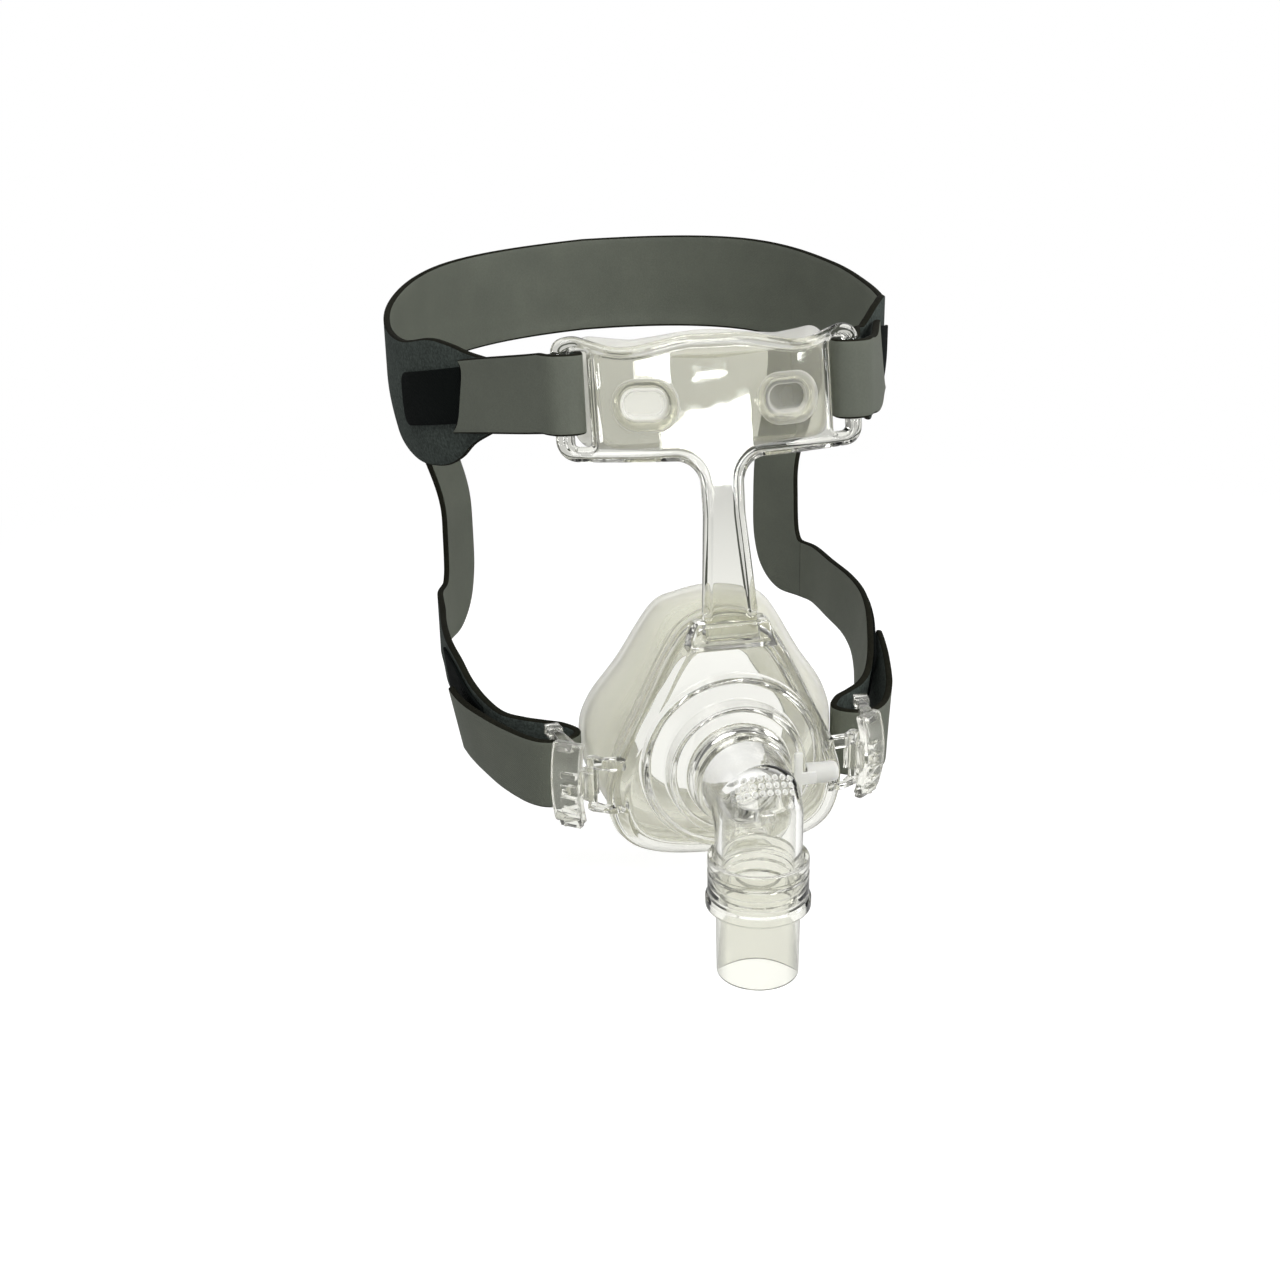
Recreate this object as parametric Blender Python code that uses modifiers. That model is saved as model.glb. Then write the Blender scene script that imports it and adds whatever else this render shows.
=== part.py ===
"""Nasal CPAP mask with its headgear, in the shape it has when worn.

Metres, +Z up, -Y forwards, +X the wearer's left. The origin lies on the bore axis, in the plane
where the cushion meets the face. Depths are counted backwards from the front of the bore ring.
"""

import math

import bmesh
import bpy
import numpy as np
from mathutils import Matrix, Vector

# Bore, collar and shell
SEAL_DEPTH = 0.038
BORE_R = 0.0119
COLLAR_R = 0.0142
COLLAR_LENGTH = 0.005
SHELL_WALL = 0.0017
INNER_TERRACE_R = 0.019
INNER_TERRACE_DEPTH = 0.0017
OUTER_TERRACE_R = 0.025
OUTER_TERRACE_DEPTH = 0.0070
RIM_DEPTH = 0.0166
CLEARANCE = 0.0003
SHELL_HALF_OUTLINE = (
    (0.0, 0.0412), (0.0095, 0.0385), (0.0155, 0.0315), (0.0245, 0.0135),
    (0.0308, 0.0000), (0.0331, -0.0110), (0.0295, -0.0225), (0.0190, -0.0280), (0.0, -0.0296),
)

# Socket for the forehead support, on top of the shell
SOCKET_BOTTOM_Z = 0.033
SOCKET_TOP_Z = 0.0408
SOCKET_FRONT_DEPTH = 0.0074
SOCKET_BACK_DEPTH = 0.0150
SOCKET_WIDTH_BOTTOM = 0.0256
SOCKET_WIDTH_TOP = 0.0200

# Pressure port and its cap
PORT_DEPTH = 0.0036
PORT_Z = -0.0033
PORT_TIP_X = 0.0260
PORT_R = 0.0020
PORT_BORE_R = 0.0010
CAP_WALL = 0.0007
CAP_END = 0.0020
TETHER_WIDTH = 0.0024
TETHER_HEIGHT = 0.0125
TETHER_THICKNESS = 0.0011

# Lugs on the shell's sides, and the clips that hook on them
LUG_X = 0.0376
LUG_DEPTH = 0.0168
LUG_BAR_R = 0.0013
LUG_TOP_Z = 0.0022
LUG_BOTTOM_Z = -0.0138
LUG_TOP_ARM = 0.0032
LUG_BOTTOM_ARM = 0.0018
CLIP_ANGLE = math.radians(25)
CLIP_REACH = 0.0188
BODY_ANGLE = math.radians(52)
CLIP_BODY_WIDTH = 0.0086
CLIP_BODY_DROP = 0.0018
CLIP_THICKNESS = 0.0030
CLIP_END_HEIGHT = 0.0032
CLIP_FOOT_HEIGHT = 0.0020
CLIP_END_WIDTH = 0.0042
CLIP_BAR = 0.0024
CLIP_BOW = 0.0020
CLIP_RIBS = 4
CLIP_WINDOW = 0.0026
HOOK_WALL = 0.0014
HOOK_LENGTH = 0.0084

# Face cushion
CUSHION_WALL = 0.0015
CUSHION_FLANGE = 0.0023
CHEEK_SWEEP = 0.008
FACE_HALF_OUTLINE = (
    (0.0, 0.0430), (0.0090, 0.0415), (0.0165, 0.0375), (0.0262, 0.0215),
    (0.0340, 0.0095), (0.0368, -0.0010), (0.0340, -0.0140), (0.0215, -0.0270), (0.0, -0.0310),
)

# Elbow and hose swivel
ELBOW_R = 0.0115
ELBOW_WALL = 0.0018
LEG_FORWARD = 0.0182
LEG_END_Z = -0.0244
SNAP_LIP = 0.0008
SNAP_LENGTH = 0.0020
LEG_SNAP_Z = -0.0192
CORNER_CUT = 0.0226
CORNER_CUT_R = 0.0200
VENT_R = 0.0005
VENT_PITCH = 0.00205
VENT_ROWS = 3
VENT_COLUMNS = 8
VENT_CENTRE = 0.0113
SWIVEL_TOP_Z = -0.0145
SWIVEL_SHOULDER_Z = -0.0250
SWIVEL_R = 0.0134
SWIVEL_GAP = 0.0004
FLANGE_R = 0.0140
FLANGE_Z = -0.0262
FLANGE_HEIGHT = 0.0027
OUTLET_ROOT_R = 0.01125
OUTLET_R = 0.0110
OUTLET_WALL = 0.0014
OUTLET_END_Z = -0.0490

# Forehead support, a curved plate on a stem
STEM_DEPTH = 0.0102
STEM_Z = 0.040
PLATE_LEAN = 0.25
FOREHEAD_R = 0.100
PLATE_THICKNESS = 0.0026
BEAD_R = 0.0013
STEM_FOOT_Z = 0.0356
STEM_FOOT_HALF = 0.0071
STEM_NECK_Z = 0.068
STEM_NECK_HALF = 0.0052
PLATE_BOTTOM_Z = 0.0826
PLATE_TOP_Z = 0.1131
PLATE_HALF = 0.0416
SLOT_INNER_X = 0.0330
SLOT_OUTER_X = 0.0374
SLOT_BOTTOM_Z = 0.0856
SLOT_TOP_Z = 0.1100
PLUG_X = 0.0193
PLUG_Z = 0.0966
PLUG_LENGTH = 0.0126
PLUG_HEIGHT = 0.0086
PLUG_HEAD = 0.0025
PLUG_HEAD_THICKNESS = 0.0018
PLUG_RECESS_WALL = 0.0009

# Forehead pad
PAD_HALF = 0.0315
PAD_BOTTOM_Z = 0.0850
PAD_TOP_Z = 0.1105
PAD_THICKNESS = 0.0018
PAD_LIP_WALL = 0.0013
PAD_DEPTH = 0.0090
PAD_FLARE = 0.0048

# Headgear, lower straps and hook tabs
STRAP_WIDTH = 0.0198
LAMINATE = 0.0020
TAB_THICKNESS = 0.0009
TAB_HEIGHT = 0.0155
HEAD_HALF_WIDTH = 0.0772
HEAD_HALF_LENGTH = 0.0910
HEAD_CENTRE_DEPTH = 0.126
HEAD_SHIFT = -0.0027
SHIFT_START = 0.036
SHIFT_LENGTH = 0.034
HEAD_ROLL = 0.045
HEAD_ROLL_X = -0.070
NECK_HALF_WIDTH = 0.0675
NECK_HALF_LENGTH = 0.0680
NECK_CENTRE_DEPTH = 0.119
HEAD_Z = 0.090
NECK_Z = 0.035
LOWER_STRAP_Z = -0.0084
STRAP_LEAN = 0.16
JAW_PATH = (  # x, depth, middle z of a lower strap from the neck round the jaw to its clip
    (0.0656, 0.1340, 0.0041), (0.0660, 0.1180, 0.0040), (0.0665, 0.1020, 0.0038), (0.0655, 0.0880, 0.0030),
    (0.0633, 0.0765, 0.0010), (0.0611, 0.0685, -0.0025), (0.0583, 0.0605, -0.0060), (0.0550, 0.0543, -0.0084),
    (0.0506, 0.0487, -0.0084), (0.0460, 0.0452, -0.0084), (0.0415, 0.0423, -0.0084),
)
JAW_LEANS = (0.0, 0.02, 0.06, 0.12, 0.16, 0.18, 0.16, 0.12, 0.06, 0.0, 0.0)
STRAP_TURN = 0.0071
OUTER_PATH = (  # x, depth, rise of the end folded back outside
    (0.0548, 0.0386, 0.0), (0.0592, 0.0475, 0.0003), (0.0628, 0.0590, 0.0008), (0.0648, 0.0670, 0.0013),
    (0.0662, 0.0740, 0.0018),
)
OUTER_LEANS = (0.02, 0.08, 0.16, 0.18, 0.18)
BAND_TILT = -0.12

AROUND = 48
ROUND_STEPS = 32


def at(depth):
    """Y of a depth behind the bore ring's front."""
    return depth - SEAL_DEPTH


def clear_scene():
    for old in list(bpy.data.objects):
        bpy.data.objects.remove(old)


def collection(name):
    made = bpy.data.collections.new(name)
    bpy.context.scene.collection.children.link(made)
    return made


def material(name, colour, roughness, alpha=1.0, transmission=0.0):
    """Principled material; every piece of this mask is non-metal."""
    made = bpy.data.materials.new(name)
    made.use_nodes = True
    shader = made.node_tree.nodes["Principled BSDF"]
    shader.inputs["Base Color"].default_value = (*colour, 1.0)
    shader.inputs["Roughness"].default_value = roughness
    shader.inputs["Metallic"].default_value = 0.0
    shader.inputs["Alpha"].default_value = alpha
    shader.inputs["Transmission Weight"].default_value = transmission
    made.diffuse_color = (*colour, alpha)
    return made


def place(name, mesh, paint, group):
    """Object of a mesh in a collection, smooth where its faces meet gently."""
    if paint:
        mesh.materials.append(paint)
    mesh.shade_smooth()
    mesh.set_sharp_from_angle(angle=math.radians(35))
    made = bpy.data.objects.new(name, mesh)
    group.objects.link(made)
    return made


def mesh_from(name, points, faces):
    """Mesh with its faces turned outwards."""
    mesh = bpy.data.meshes.new(name)
    mesh.from_pydata([tuple(map(float, p)) for p in points], [], faces)
    shape = bmesh.new()
    shape.from_mesh(mesh)
    bmesh.ops.remove_doubles(shape, verts=shape.verts, dist=1e-6)
    bmesh.ops.recalc_face_normals(shape, faces=shape.faces)
    shape.to_mesh(mesh)
    shape.free()
    return mesh


def loft(name, rings, paint, group, closed=False):
    """Skin through rings of equal count: closed joins last to first, or else both ends are capped."""
    rings = np.asarray(rings, float)
    count, around = rings.shape[:2]
    faces = []
    for i in range(count if closed else count - 1):
        a, b = i * around, (i + 1) % count * around
        faces += [(a + j, a + (j + 1) % around, b + (j + 1) % around, b + j) for j in range(around)]
    if not closed:
        faces += [tuple(range(around)), tuple(range((count - 1) * around, count * around))]
    return place(name, mesh_from(name, rings.reshape(-1, 3), faces), paint, group)


def box(name, low, high, paint, group, bevel=0.0):
    """Axis-aligned block between two corners, with rounded edges where bevel is given."""
    low, high = Vector(low), Vector(high)
    shape = bmesh.new()
    bmesh.ops.create_cube(shape, size=1.0)
    bmesh.ops.scale(shape, vec=high - low, verts=shape.verts)
    bmesh.ops.translate(shape, vec=(low + high) / 2, verts=shape.verts)
    if bevel:
        bmesh.ops.bevel(shape, geom=shape.edges[:], offset=bevel, segments=2, affect="EDGES", profile=0.5)
    mesh = bpy.data.meshes.new(name)
    shape.to_mesh(mesh)
    shape.free()
    return place(name, mesh, paint, group)


def rod(name, start, end, radius, sides, group, paint=None):
    """Round bar between two points."""
    start, end = Vector(start), Vector(end)
    shape = bmesh.new()
    bmesh.ops.create_cone(shape, cap_ends=True, segments=sides, radius1=radius, radius2=radius,
                          depth=(end - start).length)
    turn = (end - start).to_track_quat("Z", "Y").to_matrix().to_4x4()
    bmesh.ops.transform(shape, matrix=Matrix.Translation((start + end) / 2) @ turn, verts=shape.verts)
    mesh = bpy.data.meshes.new(name)
    shape.to_mesh(mesh)
    shape.free()
    return place(name, mesh, paint, group)


def turned(name, profile, centre, paint, group):
    """Closed (radius, z) profile turned about a vertical line by a Screw modifier."""
    mesh = bpy.data.meshes.new(name)
    points = [(radius, 0.0, z) for radius, z in profile]
    mesh.from_pydata(points, [(i, (i + 1) % len(points)) for i in range(len(points))], [])
    made = place(name, mesh, paint, group)
    made.location = (centre[0], centre[1], 0.0)
    screw = made.modifiers.new("Turn", "SCREW")
    screw.steps = screw.render_steps = ROUND_STEPS
    screw.use_merge_vertices = True
    screw.merge_threshold = 1e-5
    return made


def boolean(target, other, operation):
    step = target.modifiers.new(operation.title(), "BOOLEAN")
    step.object = other
    step.operation = operation
    step.solver = "EXACT"


def combine(target, *others):
    """Join pieces to the target, or cut them from it, in order: each entry is (object, operation)."""
    for other, operation in others:
        other.hide_render = True
        other.display_type = "WIRE"
        boolean(target, other, operation)


def smooth_path(points, per_span, closed=False):
    """Catmull-Rom curve through the points, with their extra columns carried along."""
    points = np.asarray(points, float)
    if closed:
        padded = np.vstack([points[-1:], points, points[:2]])
    else:
        padded = np.vstack([2 * points[0] - points[1], points, 2 * points[-1] - points[-2]])
    t = np.linspace(0, 1, per_span, endpoint=False)[:, None]
    spans = []
    for p0, p1, p2, p3 in zip(padded, padded[1:], padded[2:], padded[3:]):
        spans.append(0.5 * (2 * p1 + (p2 - p0) * t + (2 * p0 - 5 * p1 + 4 * p2 - p3) * t**2
                            + (3 * p1 - p0 - 3 * p2 + p3) * t**3))
    curve = np.vstack(spans)
    return curve if closed else np.vstack([curve, points[-1]])


def rounded(corners, segments=5):
    """Closed outline with an arc at each (x, z, radius) corner."""
    outline = []
    count = len(corners)
    for i, (x, z, radius) in enumerate(corners):
        here = np.array([x, z])
        before = np.array(corners[i - 1][:2]) - here
        after = np.array(corners[(i + 1) % count][:2]) - here
        before, after = before / np.hypot(*before), after / np.hypot(*after)
        half = math.acos(np.clip(before @ after, -1, 1)) / 2
        if radius == 0 or half > math.radians(89):
            outline.append(here)
            continue
        centre = here + (before + after) / np.hypot(*(before + after)) * radius / math.sin(half)
        start = here + before * radius / math.tan(half) - centre
        end = here + after * radius / math.tan(half) - centre
        sweep = (math.pi - 2 * half) * (1 if start[0] * end[1] - start[1] * end[0] > 0 else -1)
        for k in range(segments + 1):
            a = sweep * k / segments
            spun = (start[0] * math.cos(a) - start[1] * math.sin(a),
                    start[0] * math.sin(a) + start[1] * math.cos(a))
            outline.append(centre + spun)
    return np.array(outline)


def stadium(x, z, length, height, segments=5):
    """Outline with round ends, longest along X."""
    r = height / 2
    return rounded([(x - length / 2, z - r, r * 0.99), (x + length / 2, z - r, r * 0.99),
                    (x + length / 2, z + r, r * 0.99), (x - length / 2, z + r, r * 0.99)], segments)


def extruded(name, outline, near, far, group):
    """Solid of a flat X-Z outline from one depth to another, made from a filled 2D curve."""
    curve = bpy.data.curves.new(name + "_outline", "CURVE")
    curve.dimensions = "2D"
    curve.fill_mode = "BOTH"
    curve.extrude = (far - near) / 2
    spline = curve.splines.new("POLY")
    spline.points.add(len(outline) - 1)
    for point, (x, z) in zip(spline.points, outline):
        point.co = (x, z, 0.0, 1.0)
    spline.use_cyclic_u = True
    flat = bpy.data.objects.new(name + "_outline", curve)
    group.objects.link(flat)
    flat.rotation_euler = (math.pi / 2, 0.0, 0.0)
    flat.location = (0.0, at((near + far) / 2), 0.0)
    bpy.context.view_layer.update()
    mesh = bpy.data.meshes.new_from_object(flat.evaluated_get(bpy.context.evaluated_depsgraph_get()))
    shape = bmesh.new()
    shape.from_mesh(mesh)
    bmesh.ops.remove_doubles(shape, verts=shape.verts, dist=1e-6)
    bmesh.ops.recalc_face_normals(shape, faces=shape.faces)
    shape.to_mesh(mesh)
    shape.free()
    made = place(name, mesh, None, group)
    made.matrix_world = flat.matrix_world.copy()
    bpy.data.objects.remove(flat)
    return made


ANGLES = np.linspace(-math.pi, math.pi, AROUND, endpoint=False)


def outline_radius(half):
    """Radius, at each angle about the bore, of a smooth outline through a half and its mirror image."""
    half = np.array(half)
    loop = smooth_path(np.vstack([half, half[-2:0:-1] * (-1, 1)]), 24, closed=True)
    turn = np.arctan2(loop[:, 1], loop[:, 0])
    order = np.argsort(turn)
    return np.interp(ANGLES, turn[order], np.hypot(*loop[order].T), period=2 * math.pi)


SHELL_OUTLINE = outline_radius(SHELL_HALF_OUTLINE)
FACE_OUTLINE = outline_radius(FACE_HALF_OUTLINE)


def ring(radius, depth):
    """Points about the bore axis at a radius and a depth, either of which may vary round the ring."""
    radius = np.broadcast_to(radius, AROUND)
    return np.stack([radius * np.cos(ANGLES), at(np.broadcast_to(depth, AROUND)), radius * np.sin(ANGLES)], 1)


def stepped_rings(profile):
    """Rings that grow from circles to the shell's outline: (radius, share of the outline, depth)."""
    step = 0.0003
    last = np.zeros(AROUND)
    rings = []
    for radius, share, depth in profile:
        size = np.minimum(radius, share * SHELL_OUTLINE)
        last = np.maximum(size, last + step) if share < 1 and radius > COLLAR_R else size
        rings.append(ring(last, depth))
    return rings


# Shell


def make_shell(paint, group, cutters):
    whole = 1.0
    collar_top = COLLAR_R - (COLLAR_R - BORE_R) * 0.83
    inner_y, outer_y = INNER_TERRACE_DEPTH, OUTER_TERRACE_DEPTH
    outside = stepped_rings([
        (collar_top, whole, -COLLAR_LENGTH),
        (collar_top + 0.0010, whole, 0.0009 - COLLAR_LENGTH),
        (COLLAR_R, whole, -0.0006),
        (COLLAR_R + 0.0002, whole, inner_y - 0.0006),
        (COLLAR_R + 0.0007, 0.7, inner_y - 0.0001),
        (INNER_TERRACE_R - 0.0007, 0.76, inner_y),
        (INNER_TERRACE_R, 0.78, inner_y + 0.0009),
        (INNER_TERRACE_R + 0.0003, 0.80, outer_y - 0.0008),
        (INNER_TERRACE_R + 0.0010, 0.82, outer_y - 0.0002),
        (OUTER_TERRACE_R - 0.0007, 0.88, outer_y + 0.0004),
        (OUTER_TERRACE_R, 0.905, outer_y + 0.0012),
        (OUTER_TERRACE_R + 0.0004, 0.92, outer_y + 0.0026),
        (1.0, 0.85, outer_y + 0.0033),
        (1.0, 0.93, outer_y + 0.0046),
        (1.0, 0.985, outer_y + 0.0061),
        (1.0, whole, outer_y + 0.0076),
        (1.0, whole, RIM_DEPTH),
    ])
    wall = SHELL_WALL
    inside = stepped_rings([
        (BORE_R, whole, -COLLAR_LENGTH),
        (BORE_R, whole, inner_y + wall - 0.0002),
        (INNER_TERRACE_R - wall, 0.66, inner_y + wall),
        (INNER_TERRACE_R - wall + 0.0003, 0.69, outer_y + 0.0010),
        (INNER_TERRACE_R - wall + 0.0010, 0.72, outer_y + wall),
        (OUTER_TERRACE_R - wall - 0.0003, 0.81, outer_y + wall + 0.0004),
        (OUTER_TERRACE_R - wall + 0.0003, 0.85, outer_y + wall + 0.0026),
        (1.0, 0.79, outer_y + wall + 0.0034),
        (1.0, 0.875, outer_y + wall + 0.0049),
        (1.0, 0.93, RIM_DEPTH - 0.0014),
        (1.0, 0.948, RIM_DEPTH),
    ])
    shell = loft("mask_shell", outside + inside[::-1], paint, group, closed=True)

    low, high = SOCKET_WIDTH_BOTTOM / 2, SOCKET_WIDTH_TOP / 2
    front, back = at(SOCKET_FRONT_DEPTH), at(SOCKET_BACK_DEPTH)
    socket = loft("socket", [
        [(-low, front, SOCKET_BOTTOM_Z), (low, front, SOCKET_BOTTOM_Z),
         (low, back, SOCKET_BOTTOM_Z), (-low, back, SOCKET_BOTTOM_Z)],
        [(-high, front + 0.0006, SOCKET_TOP_Z), (high, front + 0.0006, SOCKET_TOP_Z),
         (high, back, SOCKET_TOP_Z), (-high, back, SOCKET_TOP_Z)],
    ], None, cutters)
    bevel = socket.modifiers.new("Edges", "BEVEL")
    bevel.width = 0.0009
    bevel.segments = 2
    foot = STEM_FOOT_HALF + CLEARANCE
    pocket_floor = STEM_FOOT_Z - CLEARANCE
    pocket_front = plate_depth(0.0, pocket_floor) - CLEARANCE
    pocket_back = plate_depth(foot, SOCKET_TOP_Z) + PLATE_THICKNESS + CLEARANCE
    pocket = box("socket_pocket", (-foot, at(pocket_front), pocket_floor),
                 (foot, at(pocket_back), SOCKET_TOP_Z + 0.01), None, cutters)

    start_x = INNER_TERRACE_R - wall + 0.0004
    nozzle = rod("port_nozzle", (start_x, at(PORT_DEPTH), PORT_Z), (PORT_TIP_X, at(PORT_DEPTH), PORT_Z),
                 PORT_R, 20, cutters)
    port_bore = rod("port_bore", (start_x - 0.003, at(PORT_DEPTH), PORT_Z),
                    (PORT_TIP_X + 0.001, at(PORT_DEPTH), PORT_Z), PORT_BORE_R, 12, cutters)
    combine(shell, (socket, "UNION"), (pocket, "DIFFERENCE"), (nozzle, "UNION"), (port_bore, "DIFFERENCE"))

    for side in (-1, 1):
        for name, top, bottom in (("upper", LUG_TOP_Z, LUG_TOP_Z - LUG_TOP_ARM),
                                  ("lower", LUG_BOTTOM_Z + LUG_BOTTOM_ARM, LUG_BOTTOM_Z)):
            tip = LUG_BAR_R + 0.0003
            plan = [(0.0285, 0.0118), (0.0335, 0.0124), (LUG_X + 0.4 * tip, LUG_DEPTH - tip),
                    (LUG_X + tip, LUG_DEPTH), (LUG_X + 0.5 * tip, LUG_DEPTH + tip),
                    (LUG_X - 0.6 * tip, LUG_DEPTH + 0.9 * tip), (0.0345, RIM_DEPTH - 0.0008),
                    (0.0292, RIM_DEPTH - 0.0014)]
            arm = loft(f"lug_{name}", [[(side * x, at(d), z) for x, d in plan] for z in (bottom, top)],
                       None, cutters)
            combine(shell, (arm, "UNION"))
        bar = rod("lug_bar", (side * LUG_X, at(LUG_DEPTH), LUG_BOTTOM_Z + 0.001),
                  (side * LUG_X, at(LUG_DEPTH), LUG_TOP_Z - 0.001), LUG_BAR_R, 16, cutters)
        combine(shell, (bar, "UNION"))


# Port cap


def make_port_cap(paint, group, cutters):
    inner = PORT_R + CLEARANCE
    outer = inner + CAP_WALL
    start_x = INNER_TERRACE_R + 2 * CLEARANCE
    end_x = PORT_TIP_X + CLEARANCE + CAP_END
    y = at(PORT_DEPTH)
    cap = rod("port_cap", (start_x, y, PORT_Z), (end_x, y, PORT_Z), outer, 24, group, paint)
    tether_back = at(INNER_TERRACE_DEPTH - CLEARANCE)
    tether_front = tether_back - TETHER_THICKNESS
    inner_x = COLLAR_R + 0.0007 + CLEARANCE
    tether = box("cap_tether", (inner_x, tether_front, PORT_Z + 0.0016 - TETHER_HEIGHT / 2),
                 (inner_x + TETHER_WIDTH, tether_back, PORT_Z + 0.0016 + TETHER_HEIGHT / 2),
                 None, cutters, bevel=0.0003)
    web = box("cap_web", (inner_x + TETHER_WIDTH / 2, tether_front, PORT_Z - 0.0017),
              (start_x + 0.002, tether_back, PORT_Z + 0.0017), None, cutters)
    hollow = rod("cap_hollow", (start_x - 0.001, y, PORT_Z), (PORT_TIP_X + CLEARANCE, y, PORT_Z),
                 inner, 24, cutters)
    combine(cap, (tether, "UNION"), (web, "UNION"), (hollow, "DIFFERENCE"))


# Face cushion


def make_cushion(paint, group):
    """Silicone skirt: a flange behind the rim, one bellows fold, and a lip that rolls in on the face."""
    shell, face = SHELL_OUTLINE, FACE_OUTLINE
    middle = (shell + face) / 2
    sweep = CHEEK_SWEEP * (face * np.cos(ANGLES) / FACE_HALF_OUTLINE[5][0]) ** 2
    front = RIM_DEPTH + CLEARANCE
    wall = CUSHION_WALL
    seal = SEAL_DEPTH
    outside = [
        ring(0.93 * shell, front),
        ring(shell + 0.0006, front),
        ring(shell + 0.0006, front + CUSHION_FLANGE),
        ring(0.950 * shell, front + CUSHION_FLANGE + 0.0009),
        ring(0.945 * shell, front + 0.0049),
        ring(0.995 * shell, front + 0.0067),
        ring(0.955 * shell, front + 0.0087),
        ring(middle, front + 0.0118 + 0.25 * sweep),
        ring(face, seal - 0.0052 + 0.5 * sweep),
        ring(face, seal - 0.0018 + sweep),
        ring(0.965 * face, seal + sweep),
        ring(0.87 * face, seal + sweep),
        ring(0.72 * face, seal - 0.0022 + 0.7 * sweep),
        ring(0.60 * face, seal - 0.0062 + 0.4 * sweep),
    ]
    inside = [
        ring(0.88 * shell, front),
        ring(0.895 * shell, front + CUSHION_FLANGE + 0.0004),
        ring(0.895 * shell, front + 0.0049),
        ring(0.945 * shell, front + 0.0067),
        ring(0.905 * shell, front + 0.0087),
        ring(middle - wall, front + 0.0122 + 0.25 * sweep),
        ring(face - wall, seal - 0.0048 + 0.5 * sweep),
        ring(face - wall, seal - 0.0024 + 0.97 * sweep),
        ring(0.965 * face - 0.5 * wall, seal - wall + 0.97 * sweep),
        ring(0.87 * face, seal - wall + 0.97 * sweep),
        ring(0.73 * face, seal - 0.0022 - wall + 0.68 * sweep),
        ring(0.61 * face, seal - 0.0062 - wall + 0.4 * sweep),
    ]
    loft("face_cushion", outside + inside[::-1], paint, group, closed=True)


# Elbow and swivel


def pipe_rings(radius, sections):
    """Rings of a pipe that runs forwards from the bore and turns straight down on a mitre plane.

    A section is ("bore", depth, extra radius), ("mitre", 0, 0) or ("leg", z, extra radius).
    """
    turn = np.linspace(0, 2 * math.pi, ROUND_STEPS, endpoint=False)
    rings = []
    for kind, place_value, extra in sections:
        r = radius + extra
        x, up = r * np.cos(turn), r * np.sin(turn)
        if kind == "bore":
            rings.append(np.stack([x, np.full_like(x, at(place_value)), up], 1))
        elif kind == "mitre":
            rings.append(np.stack([x, at(-LEG_FORWARD) - up, up], 1))
        else:
            rings.append(np.stack([x, at(-LEG_FORWARD) - up, np.full_like(x, place_value)], 1))
    return rings


def corner_cylinder(name, radius, group):
    """Long cylinder along the elbow's diagonal, whose upper side is the curved face with the vents."""
    away = Vector((0.0, -1.0, 1.0)).normalized()
    along = Vector((0.0, 1.0, 1.0)).normalized()
    centre = Vector((0.0, at(0.0), 0.0)) + away * (CORNER_CUT - CORNER_CUT_R)
    return rod(name, centre - along * 0.08, centre + along * 0.08, radius, 96, group)


def make_elbow(paint, group, cutters):
    bore_end = INNER_TERRACE_DEPTH + SHELL_WALL
    lip_start = bore_end + CLEARANCE
    lip_end = lip_start + 0.0012
    snap = SNAP_LIP
    elbow = loft("elbow", pipe_rings(ELBOW_R, [
        ("bore", lip_end + 0.0004, 0.0), ("bore", lip_end, snap), ("bore", lip_start, snap),
        ("bore", lip_start - 0.0001, 0.0), ("mitre", 0, 0), ("leg", LEG_SNAP_Z, 0.0),
        ("leg", LEG_SNAP_Z - 0.0004, snap), ("leg", LEG_SNAP_Z - SNAP_LENGTH, snap),
        ("leg", LEG_SNAP_Z - SNAP_LENGTH - 0.0004, 0.0), ("leg", LEG_END_Z, 0.0),
    ]), paint, group)
    passage = loft("elbow_passage", pipe_rings(ELBOW_R - ELBOW_WALL, [
        ("bore", lip_end + 0.004, 0.0), ("mitre", 0, 0), ("leg", LEG_END_Z - 0.004, 0.0),
    ]), None, cutters)
    outer_cut = corner_cylinder("corner_outside", CORNER_CUT_R, cutters)
    inner_cut = corner_cylinder("corner_inside", CORNER_CUT_R - ELBOW_WALL, cutters)
    combine(passage, (inner_cut, "INTERSECT"))
    combine(elbow, (outer_cut, "INTERSECT"), (passage, "DIFFERENCE"))

    away = Vector((0.0, -1.0, 1.0)).normalized()
    down = Vector((0.0, -1.0, -1.0)).normalized()
    vents = bmesh.new()
    for row in range(VENT_ROWS):
        for column in range(VENT_COLUMNS):
            x = (column - (VENT_COLUMNS - 1) / 2) * VENT_PITCH
            slope = VENT_CENTRE + (row - (VENT_ROWS - 1) / 2) * VENT_PITCH
            middle = Vector((x, at(0.0), 0.0)) + down * slope + away * (CORNER_CUT - ELBOW_WALL / 2)
            made = bmesh.ops.create_cone(vents, cap_ends=True, segments=6, radius1=VENT_R, radius2=VENT_R,
                                         depth=ELBOW_WALL * 4)
            turn = away.to_track_quat("Z", "Y").to_matrix().to_4x4()
            bmesh.ops.transform(vents, matrix=Matrix.Translation(middle) @ turn, verts=made["verts"])
    mesh = bpy.data.meshes.new("vents")
    vents.to_mesh(mesh)
    vents.free()
    combine(elbow, (place("vents", mesh, None, cutters), "DIFFERENCE"))


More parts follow.
